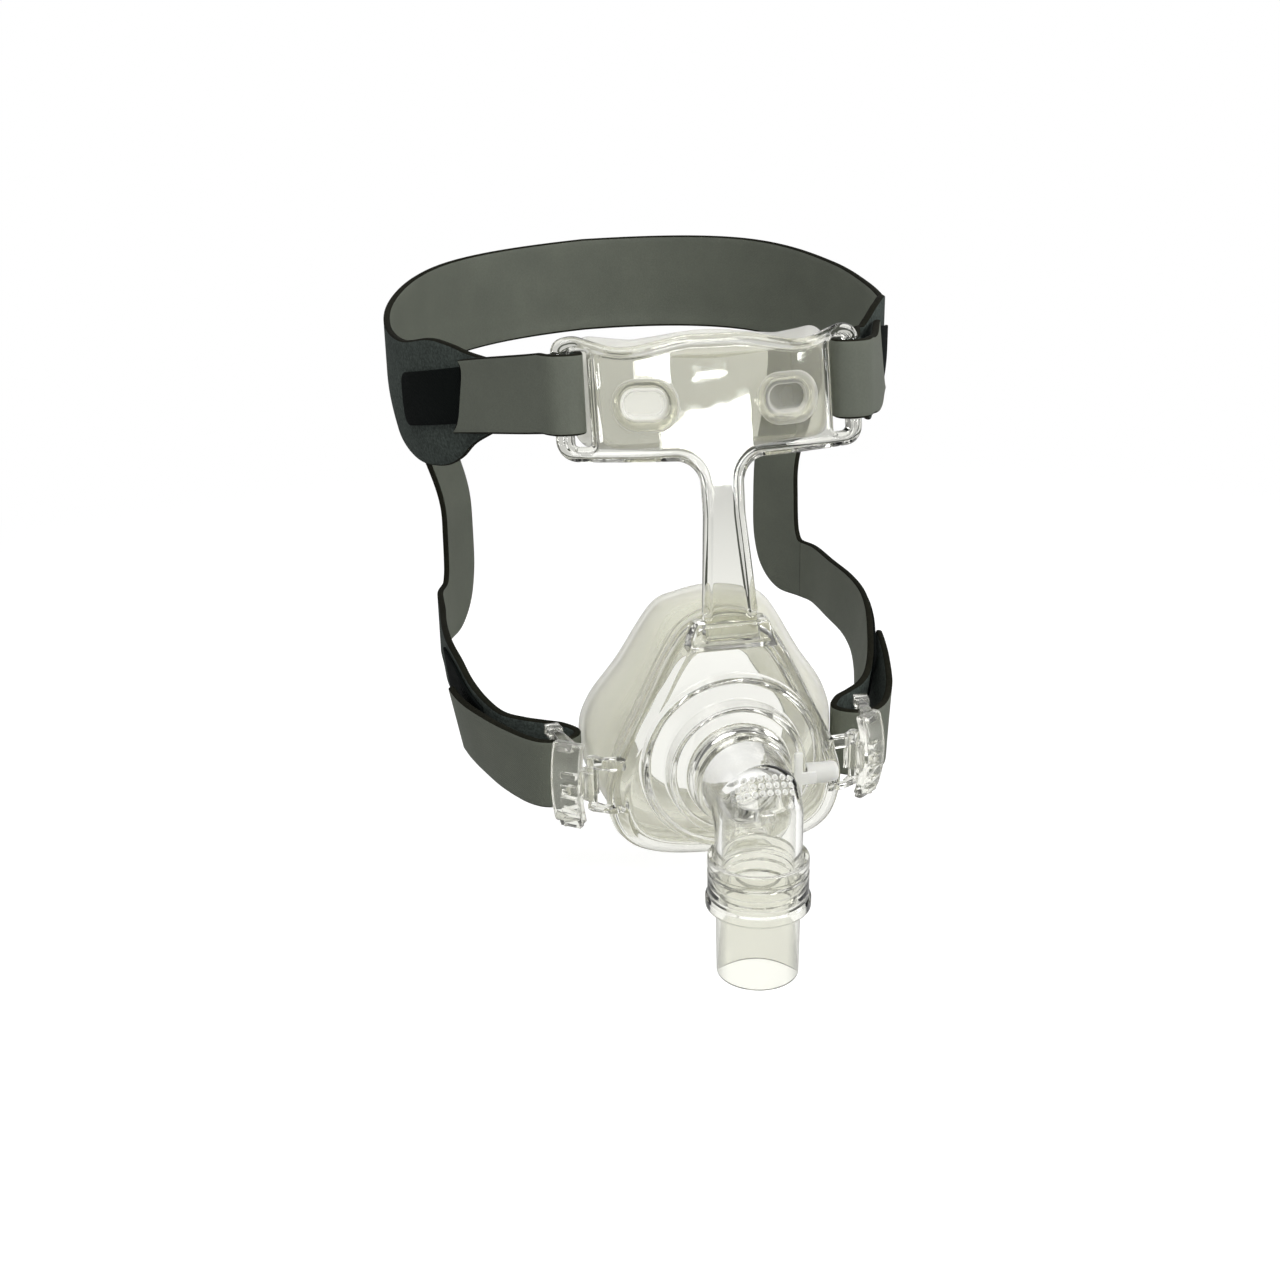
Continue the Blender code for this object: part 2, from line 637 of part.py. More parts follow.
def make_swivel(paint, group):
    """Collar that snaps on the elbow's leg, a flange, and the outlet for a 22 mm hose end."""
    sleeve_r = ELBOW_R + SWIVEL_GAP
    groove_r = ELBOW_R + SNAP_LIP + CLEARANCE
    groove_top = LEG_SNAP_Z + CLEARANCE
    groove_bottom = LEG_SNAP_Z - SNAP_LENGTH - 0.0004 - CLEARANCE
    outlet_bore = OUTLET_R - OUTLET_WALL
    turned("hose_swivel", [
        (SWIVEL_R - 0.0004, SWIVEL_TOP_Z),
        (SWIVEL_R, SWIVEL_TOP_Z - 0.0004),
        (SWIVEL_R, FLANGE_Z + 0.0006),
        (FLANGE_R - 0.0002, FLANGE_Z),
        (FLANGE_R, FLANGE_Z - 0.0004),
        (FLANGE_R, FLANGE_Z - FLANGE_HEIGHT + 0.0004),
        (FLANGE_R - 0.0004, FLANGE_Z - FLANGE_HEIGHT),
        (OUTLET_ROOT_R, FLANGE_Z - FLANGE_HEIGHT),
        (OUTLET_R, OUTLET_END_Z),
        (outlet_bore, OUTLET_END_Z),
        (outlet_bore, SWIVEL_SHOULDER_Z),
        (sleeve_r, SWIVEL_SHOULDER_Z),
        (sleeve_r, groove_bottom),
        (groove_r, groove_bottom + 0.0001),
        (groove_r, groove_top - 0.0001),
        (sleeve_r, groove_top),
        (sleeve_r, SWIVEL_TOP_Z - 0.0004),
        (sleeve_r + 0.0004, SWIVEL_TOP_Z),
    ], (0.0, at(-LEG_FORWARD)), paint, group)


# Forehead support


def plate_depth(x, z):
    """Depth of the plate's front: it leans back with height and curves round the forehead."""
    return STEM_DEPTH + PLATE_LEAN * (z - STEM_Z) + x * x / (2 * FOREHEAD_R)


def curved_slab(name, front, thickness, half_width, bottom, top, paint, group, columns=20):
    """Curved plate behind the support's front surface, from one offset to a thickness further back."""
    across = np.linspace(-half_width, half_width, columns + 1)
    offsets = [(x, front) for x in across] + [(x, front + thickness) for x in across[::-1]]
    rings = [[(x, at(plate_depth(x, z) + back), z) for x, back in offsets] for z in (bottom, top)]
    return loft(name, rings, paint, group)


def support_outline():
    """Outline of the stem, the concave shoulders, the slotted ends and the waved top."""
    right = [
        (STEM_FOOT_HALF, STEM_FOOT_Z, 0.0008),
        (STEM_FOOT_HALF, STEM_Z + 0.002, 0.02),
        (STEM_NECK_HALF, STEM_NECK_Z, 0.02),
        (STEM_NECK_HALF + 0.0002, PLATE_BOTTOM_Z, 0.0110),
        (PLATE_HALF, PLATE_BOTTOM_Z, 0.0045),
        (PLATE_HALF, PLATE_TOP_Z - 0.0012, 0.0042),
        (PLATE_HALF - 0.0050, PLATE_TOP_Z + 0.0004, 0.0060),
        (PLATE_HALF - 0.0165, PLATE_TOP_Z - 0.0033, 0.0200),
        (0.0080, PLATE_TOP_Z + 0.0002, 0.0300),
    ]
    left = [(-x, z, radius) for x, z, radius in right[::-1]]
    return rounded(right + left, 5)


def slot_outline(side):
    x0, x1 = sorted((side * SLOT_INNER_X, side * SLOT_OUTER_X))
    r = 0.0011
    return rounded([(x0, SLOT_BOTTOM_Z, r), (x1, SLOT_BOTTOM_Z, r), (x1, SLOT_TOP_Z, r), (x0, SLOT_TOP_Z, r)], 4)


def make_support(paint, group, cutters):
    margin = 0.004
    plate = curved_slab("forehead_support", 0.0, PLATE_THICKNESS, PLATE_HALF + margin, STEM_FOOT_Z - margin,
                        PLATE_TOP_Z + margin, paint, group)
    depth_range = (plate_depth(0, STEM_FOOT_Z) - 0.01, plate_depth(PLATE_HALF, PLATE_TOP_Z) + 0.02)
    outline = support_outline()
    blank = extruded("support_outline", outline, *depth_range, cutters)
    combine(plate, (blank, "INTERSECT"))
    for side in (-1, 1):
        slot = extruded("strap_slot", slot_outline(side), *depth_range, cutters)
        hole = extruded("plug_hole", stadium(side * PLUG_X, PLUG_Z, PLUG_LENGTH + 2 * CLEARANCE,
                                             PLUG_HEIGHT + 2 * CLEARANCE), *depth_range, cutters)
        combine(plate, (slot, "DIFFERENCE"), (hole, "DIFFERENCE"))
    above_socket = outline[outline[:, 1] > STEM_Z + 0.0012]
    start = np.argmin(np.where(above_socket[:, 0] > 0, above_socket[:, 1], 1.0))
    loop = np.roll(above_socket, -start, axis=0)
    combine(plate, (open_bead("support_bead", loop, BEAD_R * 0.55, BEAD_R, cutters), "UNION"))


def open_bead(name, path, inset, radius, group):
    """Bead along a path that starts and ends at the stem's foot."""
    ahead = np.gradient(path, axis=0)
    ahead /= np.hypot(*ahead.T)[:, None]
    normal = np.stack([-ahead[:, 1], ahead[:, 0]], 1)
    middle = path + normal * inset
    turn = np.linspace(0, 2 * math.pi, 6, endpoint=False) + math.pi / 6
    rings = []
    for (x, z), (nx, nz) in zip(middle, normal):
        px, pz = x + radius * np.cos(turn) * nx, z + radius * np.cos(turn) * nz
        depth = plate_depth(x, z) + 0.3 * radius - radius * np.sin(turn) + PLATE_LEAN * (pz - z)
        rings.append(np.stack([px, at(depth), pz], 1))
    return loft(name, rings, None, group)


def make_pad(paint, group, cutters):
    """Silicone pad: a thin curved base, a flared lip to the forehead and two plugs through the plate."""
    front = PLATE_THICKNESS + CLEARANCE
    pad = curved_slab("forehead_pad", front, PAD_THICKNESS, PAD_HALF + 0.004, PAD_BOTTOM_Z - 0.004,
                      PAD_TOP_Z + 0.004, paint, group)
    outline = rounded([(-PAD_HALF, PAD_BOTTOM_Z, 0.005), (PAD_HALF, PAD_BOTTOM_Z, 0.005),
                       (PAD_HALF, PAD_TOP_Z + 0.0005, 0.005), (0.016, PAD_TOP_Z - 0.0020, 0.02),
                       (-0.016, PAD_TOP_Z - 0.0020, 0.02), (-PAD_HALF, PAD_TOP_Z + 0.0005, 0.005)], 5)
    far = plate_depth(PAD_HALF, PAD_TOP_Z) + 0.02
    combine(pad, (extruded("pad_outline", outline, 0.0, far, cutters), "INTERSECT"))
    head_front = -CLEARANCE - PLUG_HEAD_THICKNESS
    for side in (-1, 1):
        x = side * PLUG_X
        neck = curved_slab("plug_neck", head_front + 0.0002, front + PAD_THICKNESS / 2 - head_front,
                           PLATE_HALF, PLUG_Z - 0.012, PLUG_Z + 0.012, None, cutters)
        neck_cut = extruded("plug_outline", stadium(x, PLUG_Z, PLUG_LENGTH, PLUG_HEIGHT), 0.0, far, cutters)
        combine(neck, (neck_cut, "INTERSECT"))
        head = curved_slab("plug_head", head_front, PLUG_HEAD_THICKNESS, PLATE_HALF, PLUG_Z - 0.012,
                           PLUG_Z + 0.012, None, cutters)
        head_cut = extruded("head_outline", stadium(x, PLUG_Z, PLUG_LENGTH + 2 * PLUG_HEAD,
                                                    PLUG_HEIGHT + 2 * PLUG_HEAD), 0.0, far, cutters)
        combine(head, (head_cut, "INTERSECT"))
        recess = extruded("plug_recess", stadium(x, PLUG_Z, PLUG_LENGTH - 2 * PLUG_RECESS_WALL,
                                                 PLUG_HEIGHT - 2 * PLUG_RECESS_WALL),
                          0.0, plate_depth(PLUG_X, PLUG_Z) + 0.001, cutters)
        combine(pad, (neck, "UNION"), (head, "UNION"), (recess, "DIFFERENCE"))

    centre = np.array([0.0, (PAD_BOTTOM_Z + PAD_TOP_Z) / 2])
    away = outline - centre
    away /= np.hypot(*away.T)[:, None]
    wall = PAD_LIP_WALL
    rings = []
    for reach, back in ((-0.0010 - wall, PAD_THICKNESS * 0.5), (-0.0010, PAD_THICKNESS * 0.5),
                        (PAD_FLARE * 0.45, PAD_DEPTH * 0.5), (PAD_FLARE, PAD_DEPTH),
                        (PAD_FLARE - wall, PAD_DEPTH), (PAD_FLARE * 0.45 - wall, PAD_DEPTH * 0.5)):
        edge = outline + away * reach
        rings.append([(x, at(plate_depth(x, z) + front + back), z) for x, z in edge])
    combine(pad, (loft("pad_lip", rings, None, cutters, closed=True), "UNION"))


# Clips


def clip_frame(side):
    """Pivot and strap bar in plan, and the directions along and outwards from a clip's body."""
    pivot = Vector((side * LUG_X, at(LUG_DEPTH), 0.0))
    bar = pivot + CLIP_REACH * Vector((side * math.sin(CLIP_ANGLE), math.cos(CLIP_ANGLE), 0.0))
    along = Vector((side * math.sin(BODY_ANGLE), math.cos(BODY_ANGLE), 0.0))
    outward = Vector((side * math.cos(BODY_ANGLE), -math.sin(BODY_ANGLE), 0.0))
    return pivot, bar, along, outward


def make_clip(name, side, paint, group, cutters):
    """Bowed finger plate hooked on a lug's bar, with two arms that run back to an upright strap bar."""
    pivot, bar, along, outward = clip_frame(side)
    strap_top = LOWER_STRAP_Z + STRAP_WIDTH / 2 + CLEARANCE
    strap_bottom = LOWER_STRAP_Z - STRAP_WIDTH / 2 - CLEARANCE
    top, bottom = strap_top + CLIP_END_HEIGHT, strap_bottom - CLIP_FOOT_HEIGHT
    plate_bottom = bottom + CLIP_BODY_DROP
    half = CLIP_THICKNESS / 2

    def plate(title, near, far, inner, outer, heights, target_group, colour=None):
        """Slice of the plate between two reaches, bowed outwards at mid height."""
        rings = []
        for z in heights:
            share = 2 * (z - plate_bottom) / (top - plate_bottom) - 1
            out = CLIP_BOW * (1 - share * share)
            rings.append([pivot + along * u + outward * (t + out) + Vector((0, 0, z))
                          for u, t in ((near, inner), (far, inner), (far, outer), (near, outer))])
        return loft(title, rings, colour, target_group)

    hook_in = LUG_BAR_R + CLEARANCE
    hook_out = hook_in + HOOK_WALL
    near, far = hook_out - 0.0003, hook_out + CLIP_BODY_WIDTH
    clip = plate(name, near, far, -half, half, np.linspace(plate_bottom, top, 9), group, paint)
    bevel = clip.modifiers.new("Edges", "BEVEL")
    bevel.width = 0.0006
    bevel.segments = 2
    bevel.limit_method = "ANGLE"
    bevel.angle_limit = math.radians(40)
    middle = pivot + along * (near + far) / 2
    back = (bar - middle).normalized()
    across = Vector((back.y, -back.x, 0.0))
    pieces = []
    for low, high in ((bottom, strap_bottom), (strap_top, top)):
        ends = [middle + across * w + Vector((0, 0, 0)) for w in (-CLIP_END_WIDTH / 2, CLIP_END_WIDTH / 2)]
        tips = [bar + back * CLIP_BAR / 2 + across * w for w in (CLIP_BAR / 2, -CLIP_BAR / 2)]
        pieces.append(loft("clip_arm", [[point + Vector((0, 0, z)) for point in ends + tips]
                                        for z in (low, high)], None, cutters))
    foot = plate("clip_foot", near + 0.0012, far - 0.0012, -half * 0.8, half * 0.8,
                 (bottom, plate_bottom + 0.001), cutters)
    pieces.append(foot)
    pieces.append(loft("strap_bar", [[bar + back * a * CLIP_BAR / 2 + across * b * CLIP_BAR / 2
                                      + Vector((0, 0, z)) for a, b in ((-1, -1), (1, -1), (1, 1), (-1, 1))]
                                     for z in (bottom + 0.0004, top - 0.0004)], None, cutters))
    hook_middle = (LUG_TOP_Z - LUG_TOP_ARM + LUG_BOTTOM_Z + LUG_BOTTOM_ARM) / 2
    hook_low, hook_high = hook_middle - HOOK_LENGTH / 2, hook_middle + HOOK_LENGTH / 2
    arc = np.radians(np.linspace(-100, 125, 16))
    plan = [(hook_out * math.cos(a), hook_out * math.sin(a)) for a in arc]
    plan += [(hook_in * math.cos(a), hook_in * math.sin(a)) for a in arc[::-1]]
    pieces.append(loft("clip_hook", [[pivot + along * u + outward * t + Vector((0, 0, z)) for u, t in plan]
                                     for z in (hook_low, hook_high)], None, cutters))
    pieces.append(loft("hook_neck", [[pivot + along * u + outward * t + Vector((0, 0, z)) for u, t in
                                      ((hook_out - 0.0009, -0.0008), (near + 0.0012, -0.0008),
                                       (near + 0.0012, CLIP_BOW + half * 0.8), (hook_out - 0.0009, 0.0016))]
                                     for z in (hook_low, hook_high)], None, cutters))
    for z in np.linspace(plate_bottom + 0.0022, plate_bottom + (top - plate_bottom) * 0.66, CLIP_RIBS):
        pieces.append(plate("clip_rib", near + 0.0010, far - 0.0008, half - 0.0004, half + 0.0009,
                            (z - 0.0006, z + 0.0006), cutters))
    combine(clip, *[(piece, "UNION") for piece in pieces])
    window_z = hook_middle - 0.0022
    window = plate("clip_window", (near + far - CLIP_WINDOW) / 2, (near + far + CLIP_WINDOW) / 2,
                   -0.006, 0.006, (window_z - CLIP_WINDOW / 2, window_z + CLIP_WINDOW / 2), cutters)
    combine(clip, (window, "DIFFERENCE"))


# Headgear


def head_point(angle, z, offset=0.0):
    """(x, depth, z) round the head or neck, at an angle from the back, moved outwards by an offset."""
    share = min(1.0, max(0.0, (z - NECK_Z) / (HEAD_Z - NECK_Z)))
    share *= share * (3 - 2 * share)
    half_width = NECK_HALF_WIDTH + share * (HEAD_HALF_WIDTH - NECK_HALF_WIDTH)
    half_length = NECK_HALF_LENGTH + share * (HEAD_HALF_LENGTH - NECK_HALF_LENGTH)
    centre = NECK_CENTRE_DEPTH + share * (HEAD_CENTRE_DEPTH - NECK_CENTRE_DEPTH)
    normal = np.array([math.sin(angle) / half_width, math.cos(angle) / half_length])
    normal /= np.hypot(*normal)
    return np.array([half_width * math.sin(angle) + offset * normal[0],
                     centre + half_length * math.cos(angle) + offset * normal[1], z])


UPPER_EDGES = (  # degrees from the back, top z, bottom z
    (0, 0.1160, 0.0840), (45, 0.1145, 0.0830), (75, 0.1090, 0.0780), (92, 0.1055, 0.0725),
    (107, 0.1045, 0.0690), (119, 0.1072, 0.0705), (126, 0.1066, 0.0742), (131, 0.1050, 0.0795),
    (136, 0.1038, 0.0836),
)
ARM_ROOT = (50.0, 78.0)  # degrees of the rear and front corners where a lower arm leaves the back band
LOWER_ARM = (  # rear angle and z, front angle and z, down behind the ear and forwards to the seam
    (53.5, 0.0720, 73.5, 0.0700), (52.5, 0.0580, 69.5, 0.0570), (50.5, 0.0420, 66.5, 0.0420),
    (50.0, 0.0260, 66.5, 0.0290), (50.5, 0.0120, 67.0, 0.0195), (53.5, 0.0010, 68.0, 0.0155),
    (60.0, -0.0055, 69.0, 0.0142), (70.0, -0.0060, 70.0, 0.0140),
)
ARM_CELLS = 4


def settled(x, depth, z):
    """World point of the headgear: behind the clips it is worn to the right, and higher on the left."""
    share = min(1.0, max(0.0, (depth - SHIFT_START) / SHIFT_LENGTH))
    share *= share * (3 - 2 * share)
    return (x + HEAD_SHIFT * share, at(depth), z + HEAD_ROLL * (x - HEAD_ROLL_X) * share)


def loop_path():
    """Middle of an upper arm in plan, from the temple through the slot and round its post: x, depth."""
    post_x = (SLOT_OUTER_X + PLATE_HALF) / 2
    post_front = plate_depth(post_x, PLUG_Z)
    slot_x = (SLOT_INNER_X + SLOT_OUTER_X) / 2
    back = post_front + PLATE_THICKNESS + LAMINATE / 2 + CLEARANCE + 0.0004
    front = post_front - LAMINATE / 2 - BEAD_R * 0.7 - CLEARANCE - 0.0004
    return [
        (post_x + 0.0075, back + 0.0105), (post_x + 0.0025, back + 0.0030), (slot_x + 0.0012, back + 0.0002),
        (slot_x, back - 0.0020), (slot_x, front + 0.0018), (slot_x + 0.0012, front + 0.0002),
        (post_x, front - 0.0003), (post_x + 0.0038, front + 0.0012), (post_x + 0.0080, front + 0.0085),
        (post_x + 0.0145, front + 0.0205),
    ]


def make_headgear(paint, group):
    """One laminated sheet: back band, lower arms behind the ears, and upper arms folded through their slots."""
    edges = np.array(UPPER_EDGES, float)
    root = np.linspace(*ARM_ROOT, ARM_CELLS + 1)
    angles = np.concatenate([np.linspace(0, 43, 6), root, np.linspace(85, 99, 3), np.linspace(106, 136, 9)])
    columns = []
    for angle in angles:
        top, bottom = (np.interp(angle, edges[:, 0], edges[:, k]) for k in (1, 2))
        columns.append((head_point(math.radians(angle), top), head_point(math.radians(angle), bottom)))
    stack = LAMINATE + 2 * CLEARANCE + TAB_THICKNESS
    end_angle = math.radians(131.5)
    end = head_point(end_angle, 0.094, stack + 0.0002)
    start = (columns[-1][0] + columns[-1][1]) / 2
    plan = [tuple(start[:2])] + loop_path() + [tuple(end[:2])]
    plan = smooth_path(plan, 3)
    travel = np.concatenate([[0], np.cumsum(np.hypot(*np.diff(plan, axis=0).T))])
    fold = travel[np.argmin(plan[:, 1])]
    slot_middle = (SLOT_BOTTOM_Z + SLOT_TOP_Z) / 2
    for (x, depth), run in list(zip(plan, travel))[1:]:
        near = 1 - abs(run - fold) / max(fold, travel[-1] - fold)
        near = min(1.0, max(0.0, near) * 1.25)
        middle = start[2] + (slot_middle + 0.0017 - start[2]) * near
        half = STRAP_WIDTH / 2
        tilt = BAND_TILT * (1 - near) * half
        lean = STRAP_LEAN * near
        columns.append(((x + tilt, depth + lean * (middle + half - PLUG_Z), middle + half),
                        (x - tilt, depth + lean * (middle - half - PLUG_Z), middle - half)))
    arm = [[head_point(math.radians(angle), np.interp(angle, edges[:, 0], edges[:, 2])) for angle in root]]
    for rear, rear_z, front, front_z in LOWER_ARM:
        arm.append([head_point(math.radians(rear + share * (front - rear)), rear_z + share * (front_z - rear_z))
                    for share in np.linspace(0, 1, ARM_CELLS + 1)])
    mirrored = [[(-x, depth, z) for x, depth, z in column] for column in columns[:0:-1]]
    both = mirrored + columns
    points = [settled(*point) for column in both for point in column]
    faces = [(2 * i, 2 * i + 1, 2 * i + 3, 2 * i + 2) for i in range(len(both) - 1)]
    for side in (-1, 1):
        base = len(points)
        wide = ARM_CELLS + 1
        points += [settled(side * x, depth, z) for row in arm for x, depth, z in row]
        faces += [(base + i * wide + j, base + i * wide + j + 1, base + (i + 1) * wide + j + 1,
                   base + (i + 1) * wide + j) for i in range(len(arm) - 1) for j in range(ARM_CELLS)]
    mesh = bpy.data.meshes.new("headgear")
    mesh.from_pydata([tuple(map(float, p)) for p in points], [], faces)
    shape = bmesh.new()
    shape.from_mesh(mesh)
    bmesh.ops.remove_doubles(shape, verts=shape.verts, dist=1e-5)
    bmesh.ops.recalc_face_normals(shape, faces=shape.faces)
    shape.to_mesh(mesh)
    shape.free()
    headgear = place("headgear", mesh, paint, group)
    solid = headgear.modifiers.new("Laminate", "SOLIDIFY")
    solid.thickness = LAMINATE
    solid.offset = 0.0
    solid.use_even_offset = True


def ribbon(name, path, height, thickness, paint, group):
    """Band along settled (x, depth, middle z, lean) points, where lean moves the top edge outwards."""
    path = np.asarray(path, float)
    ahead = np.gradient(path[:, :2], axis=0)
    ahead /= np.hypot(*ahead.T)[:, None]
    normal = np.stack([-ahead[:, 1], ahead[:, 0]], 1) * thickness / 2
    rings = []
    for (x, depth, z, lean), (nx, nd) in zip(path, normal):
        tilt = lean * math.copysign(1, x)
        rings.append([settled(x + s * nx + h * tilt * height / 2, depth + s * nd, z + h * height / 2)
                      for s, h in ((1, 1), (1, -1), (-1, -1), (-1, 1))])
    return loft(name, rings, paint, group)


def lower_strap_path(side):
    """Middle of a lower strap, from its arm's end round the jaw, through the clip and back outside."""
    bar = clip_frame(1)[1]
    bar_x, bar_depth = bar.x, bar.y + SEAL_DEPTH
    front = bar_depth - CLIP_BAR / 2 - CLEARANCE - LAMINATE / 2
    end_angle, bottom, _, top = LOWER_ARM[-1]
    start_z = (top + bottom) / 2
    seam = head_point(math.radians(end_angle) + CLEARANCE / NECK_HALF_LENGTH, start_z)
    z = LOWER_STRAP_Z
    inner = [(x, depth, height, lean) for (x, depth, height), lean in zip(JAW_PATH, JAW_LEANS)]
    outer = [(x, depth, z + rise, lean) for (x, depth, rise), lean in zip(OUTER_PATH, OUTER_LEANS)]
    points = [(seam[0], seam[1], start_z, 0.0)] + inner + [
        (bar_x - STRAP_TURN, bar_depth + STRAP_TURN / 2, z, 0.0),
        (bar_x - STRAP_TURN * 0.85, bar_depth - STRAP_TURN * 0.015, z, 0.0),
        (bar_x - STRAP_TURN * 0.31, front, z, 0.0), (bar_x + STRAP_TURN * 0.28, front, z, 0.0),
        (bar_x + STRAP_TURN * 0.76, front + LAMINATE, z, 0.0),
    ] + outer
    return [(side * x, depth, z, lean) for x, depth, z, lean in smooth_path(points, 2)]


def make_straps(paint, tab_paint, group):
    for side, word in ((-1, "right"), (1, "left")):
        path = np.array(lower_strap_path(side))
        ribbon(f"lower_strap_{word}", path, STRAP_WIDTH, LAMINATE, paint, group)
        lift = LAMINATE / 2 + CLEARANCE + TAB_THICKNESS / 2
        rings = []
        for angle in np.linspace(103, 130, 10):
            turn = math.radians(angle)
            z = 0.0866 + (0.0935 - 0.0866) * (angle - 103) / 27
            corners = [head_point(turn, z + up * TAB_HEIGHT / 2, lift + out * TAB_THICKNESS / 2)
                       for up, out in ((1, 1), (1, -1), (-1, -1), (-1, 1))]
            rings.append([settled(side * x, depth, z) for x, depth, z in corners])
        loft(f"upper_hook_tab_{word}", rings, tab_paint, group)
        fold = np.argmin(path[:, 1])
        inner = path[:fold][(path[:fold, 1] > 0.0600) & (path[:fold, 1] < 0.0900)]
        ahead = np.gradient(inner[:, :2], axis=0)
        ahead /= np.hypot(*ahead.T)[:, None]
        normal = np.stack([ahead[:, 1], -ahead[:, 0]], 1)
        normal *= np.sign(normal[:, :1] * side)
        moved = inner.copy()
        moved[:, :2] += normal * lift
        ribbon(f"lower_hook_tab_{word}", moved, TAB_HEIGHT, TAB_THICKNESS, tab_paint, group)


def main():
    clear_scene()
    parts = collection("nasal_cpap_mask")
    cutters = collection("cutters")
    clear = material("clear_polycarbonate", (0.90, 0.92, 0.91), 0.08, alpha=0.35, transmission=0.9)
    tinted = material("clear_clip", (0.86, 0.88, 0.86), 0.12, alpha=0.45, transmission=0.8)
    silicone = material("silicone", (0.86, 0.87, 0.84), 0.35, alpha=0.55, transmission=0.5)
    milky = material("milky_silicone", (0.88, 0.89, 0.84), 0.40, alpha=0.8)
    fabric = material("headgear_laminate", (0.107, 0.117, 0.096), 0.85)
    hook = material("hook_fastener", (0.007, 0.009, 0.008), 0.75)
    make_shell(clear, parts, cutters)
    make_port_cap(milky, parts, cutters)
    make_cushion(silicone, parts)
    make_elbow(clear, parts, cutters)
    make_swivel(clear, parts)
    make_support(clear, parts, cutters)
    make_pad(silicone, parts, cutters)
    for side, word in ((-1, "right"), (1, "left")):
        make_clip(f"strap_clip_{word}", side, tinted, parts, cutters)
    make_headgear(fabric, parts)
    make_straps(fabric, hook, parts)


main()
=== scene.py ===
"""Nasal CPAP mask with headgear: clear shell, elbow and forehead support, silicone cushion, laminate straps.

Metres, +Z up, -Y forwards, +X the wearer's left. A depth is counted backwards from 38 mm before the face.
"""

import math

import bmesh
import bpy
import numpy as np
from mathutils import Matrix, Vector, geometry


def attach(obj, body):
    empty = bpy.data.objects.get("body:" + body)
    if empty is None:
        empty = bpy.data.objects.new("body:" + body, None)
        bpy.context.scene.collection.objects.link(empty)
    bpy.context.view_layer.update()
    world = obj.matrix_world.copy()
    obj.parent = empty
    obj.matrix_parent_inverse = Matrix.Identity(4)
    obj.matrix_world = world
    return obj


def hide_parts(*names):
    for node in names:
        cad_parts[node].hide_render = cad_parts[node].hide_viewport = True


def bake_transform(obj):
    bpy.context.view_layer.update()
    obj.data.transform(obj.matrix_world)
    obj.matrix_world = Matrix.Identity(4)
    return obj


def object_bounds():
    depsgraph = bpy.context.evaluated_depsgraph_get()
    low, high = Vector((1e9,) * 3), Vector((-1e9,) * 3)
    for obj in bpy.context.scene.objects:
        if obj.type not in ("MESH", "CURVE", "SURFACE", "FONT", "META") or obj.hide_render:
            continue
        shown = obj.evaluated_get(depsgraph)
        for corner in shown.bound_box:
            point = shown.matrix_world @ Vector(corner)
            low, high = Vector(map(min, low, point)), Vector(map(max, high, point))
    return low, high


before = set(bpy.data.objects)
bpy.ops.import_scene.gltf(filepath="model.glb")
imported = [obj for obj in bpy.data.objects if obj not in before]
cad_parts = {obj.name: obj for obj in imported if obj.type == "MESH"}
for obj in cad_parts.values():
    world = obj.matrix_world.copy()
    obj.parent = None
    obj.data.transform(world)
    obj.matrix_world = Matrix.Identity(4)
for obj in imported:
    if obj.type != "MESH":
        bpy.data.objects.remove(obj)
cad_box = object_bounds()
scene = bpy.context.scene

# Camera, in front of the mask, a little to the wearer's right and above it.
lens = bpy.data.cameras.new("camera")
lens.sensor_width = 36.0
lens.lens = 44.576
camera = bpy.data.objects.new("camera", lens)
camera.matrix_world = Matrix((
    (0.97928391, 0.0849184, -0.18382571, -0.101814),
    (-0.20176725, 0.33246839, -0.92127886, -0.413303),
    (-0.01711729, 0.93928357, 0.3427147, 0.180780),
    (0.0, 0.0, 0.0, 1.0),
))
scene.collection.objects.link(camera)
scene.camera = camera

# Mask shell. One injection moulding in clear polycarbonate: a bore collar, two round terraces, a
# rounded triangular rim, a socket on top, a port nozzle, and a lug loop on each side.
SEAL_DEPTH = 0.038  # of the face, where y is 0
RIM_DEPTH = 0.0166
CLEARANCE = 0.0003  # between neighbouring pieces
PORT_Y, PORT_Z = 0.0036 - SEAL_DEPTH, -0.0033
LUG_X, LUG_DEPTH = 0.0376, 0.0168  # of the upright bar that a clip hooks on
SHELL_HALF = (
    (0.0, 0.0412), (0.0095, 0.0385), (0.0155, 0.0315), (0.0245, 0.0135),
    (0.0308, 0.0000), (0.0331, -0.0110), (0.0295, -0.0225), (0.0190, -0.0280), (0.0, -0.0296),
)
SHELL_OUTSIDE = (  # radius, share of the outline, depth, corner radius
    (0.01229, 2.0, -0.0050, 0.0003), (0.0133, 2.0, -0.0041, 0.0007), (0.0142, 2.0, -0.0006, 0.0008),
    (0.0144, 2.0, 0.00165, 0.0005), (0.0190, 0.78, 0.0017, 0.0008), (0.0193, 0.80, 0.0068, 0.0006),
    (0.0250, 0.90, 0.0074, 0.0009), (0.0254, 0.915, 0.0101, 0.0008), (1.0, 0.895, 0.0102, 0.0020),
    (1.0, 1.0, 0.0140, 0.0022), (1.0, 1.0, 0.0166, 0.0003),
)
SHELL_INSIDE = (
    (0.0119, 2.0, -0.0050, 0.0003), (0.0119, 2.0, 0.0034, 0.0004), (0.0173, 0.67, 0.0035, 0.0007),
    (0.0177, 0.70, 0.0086, 0.0005), (0.0233, 0.83, 0.0091, 0.0008), (0.0237, 0.85, 0.0119, 0.0008),
    (1.0, 0.855, 0.0121, 0.0020), (1.0, 0.935, 0.0155, 0.0015), (1.0, 0.948, 0.0166, 0.0003),
)


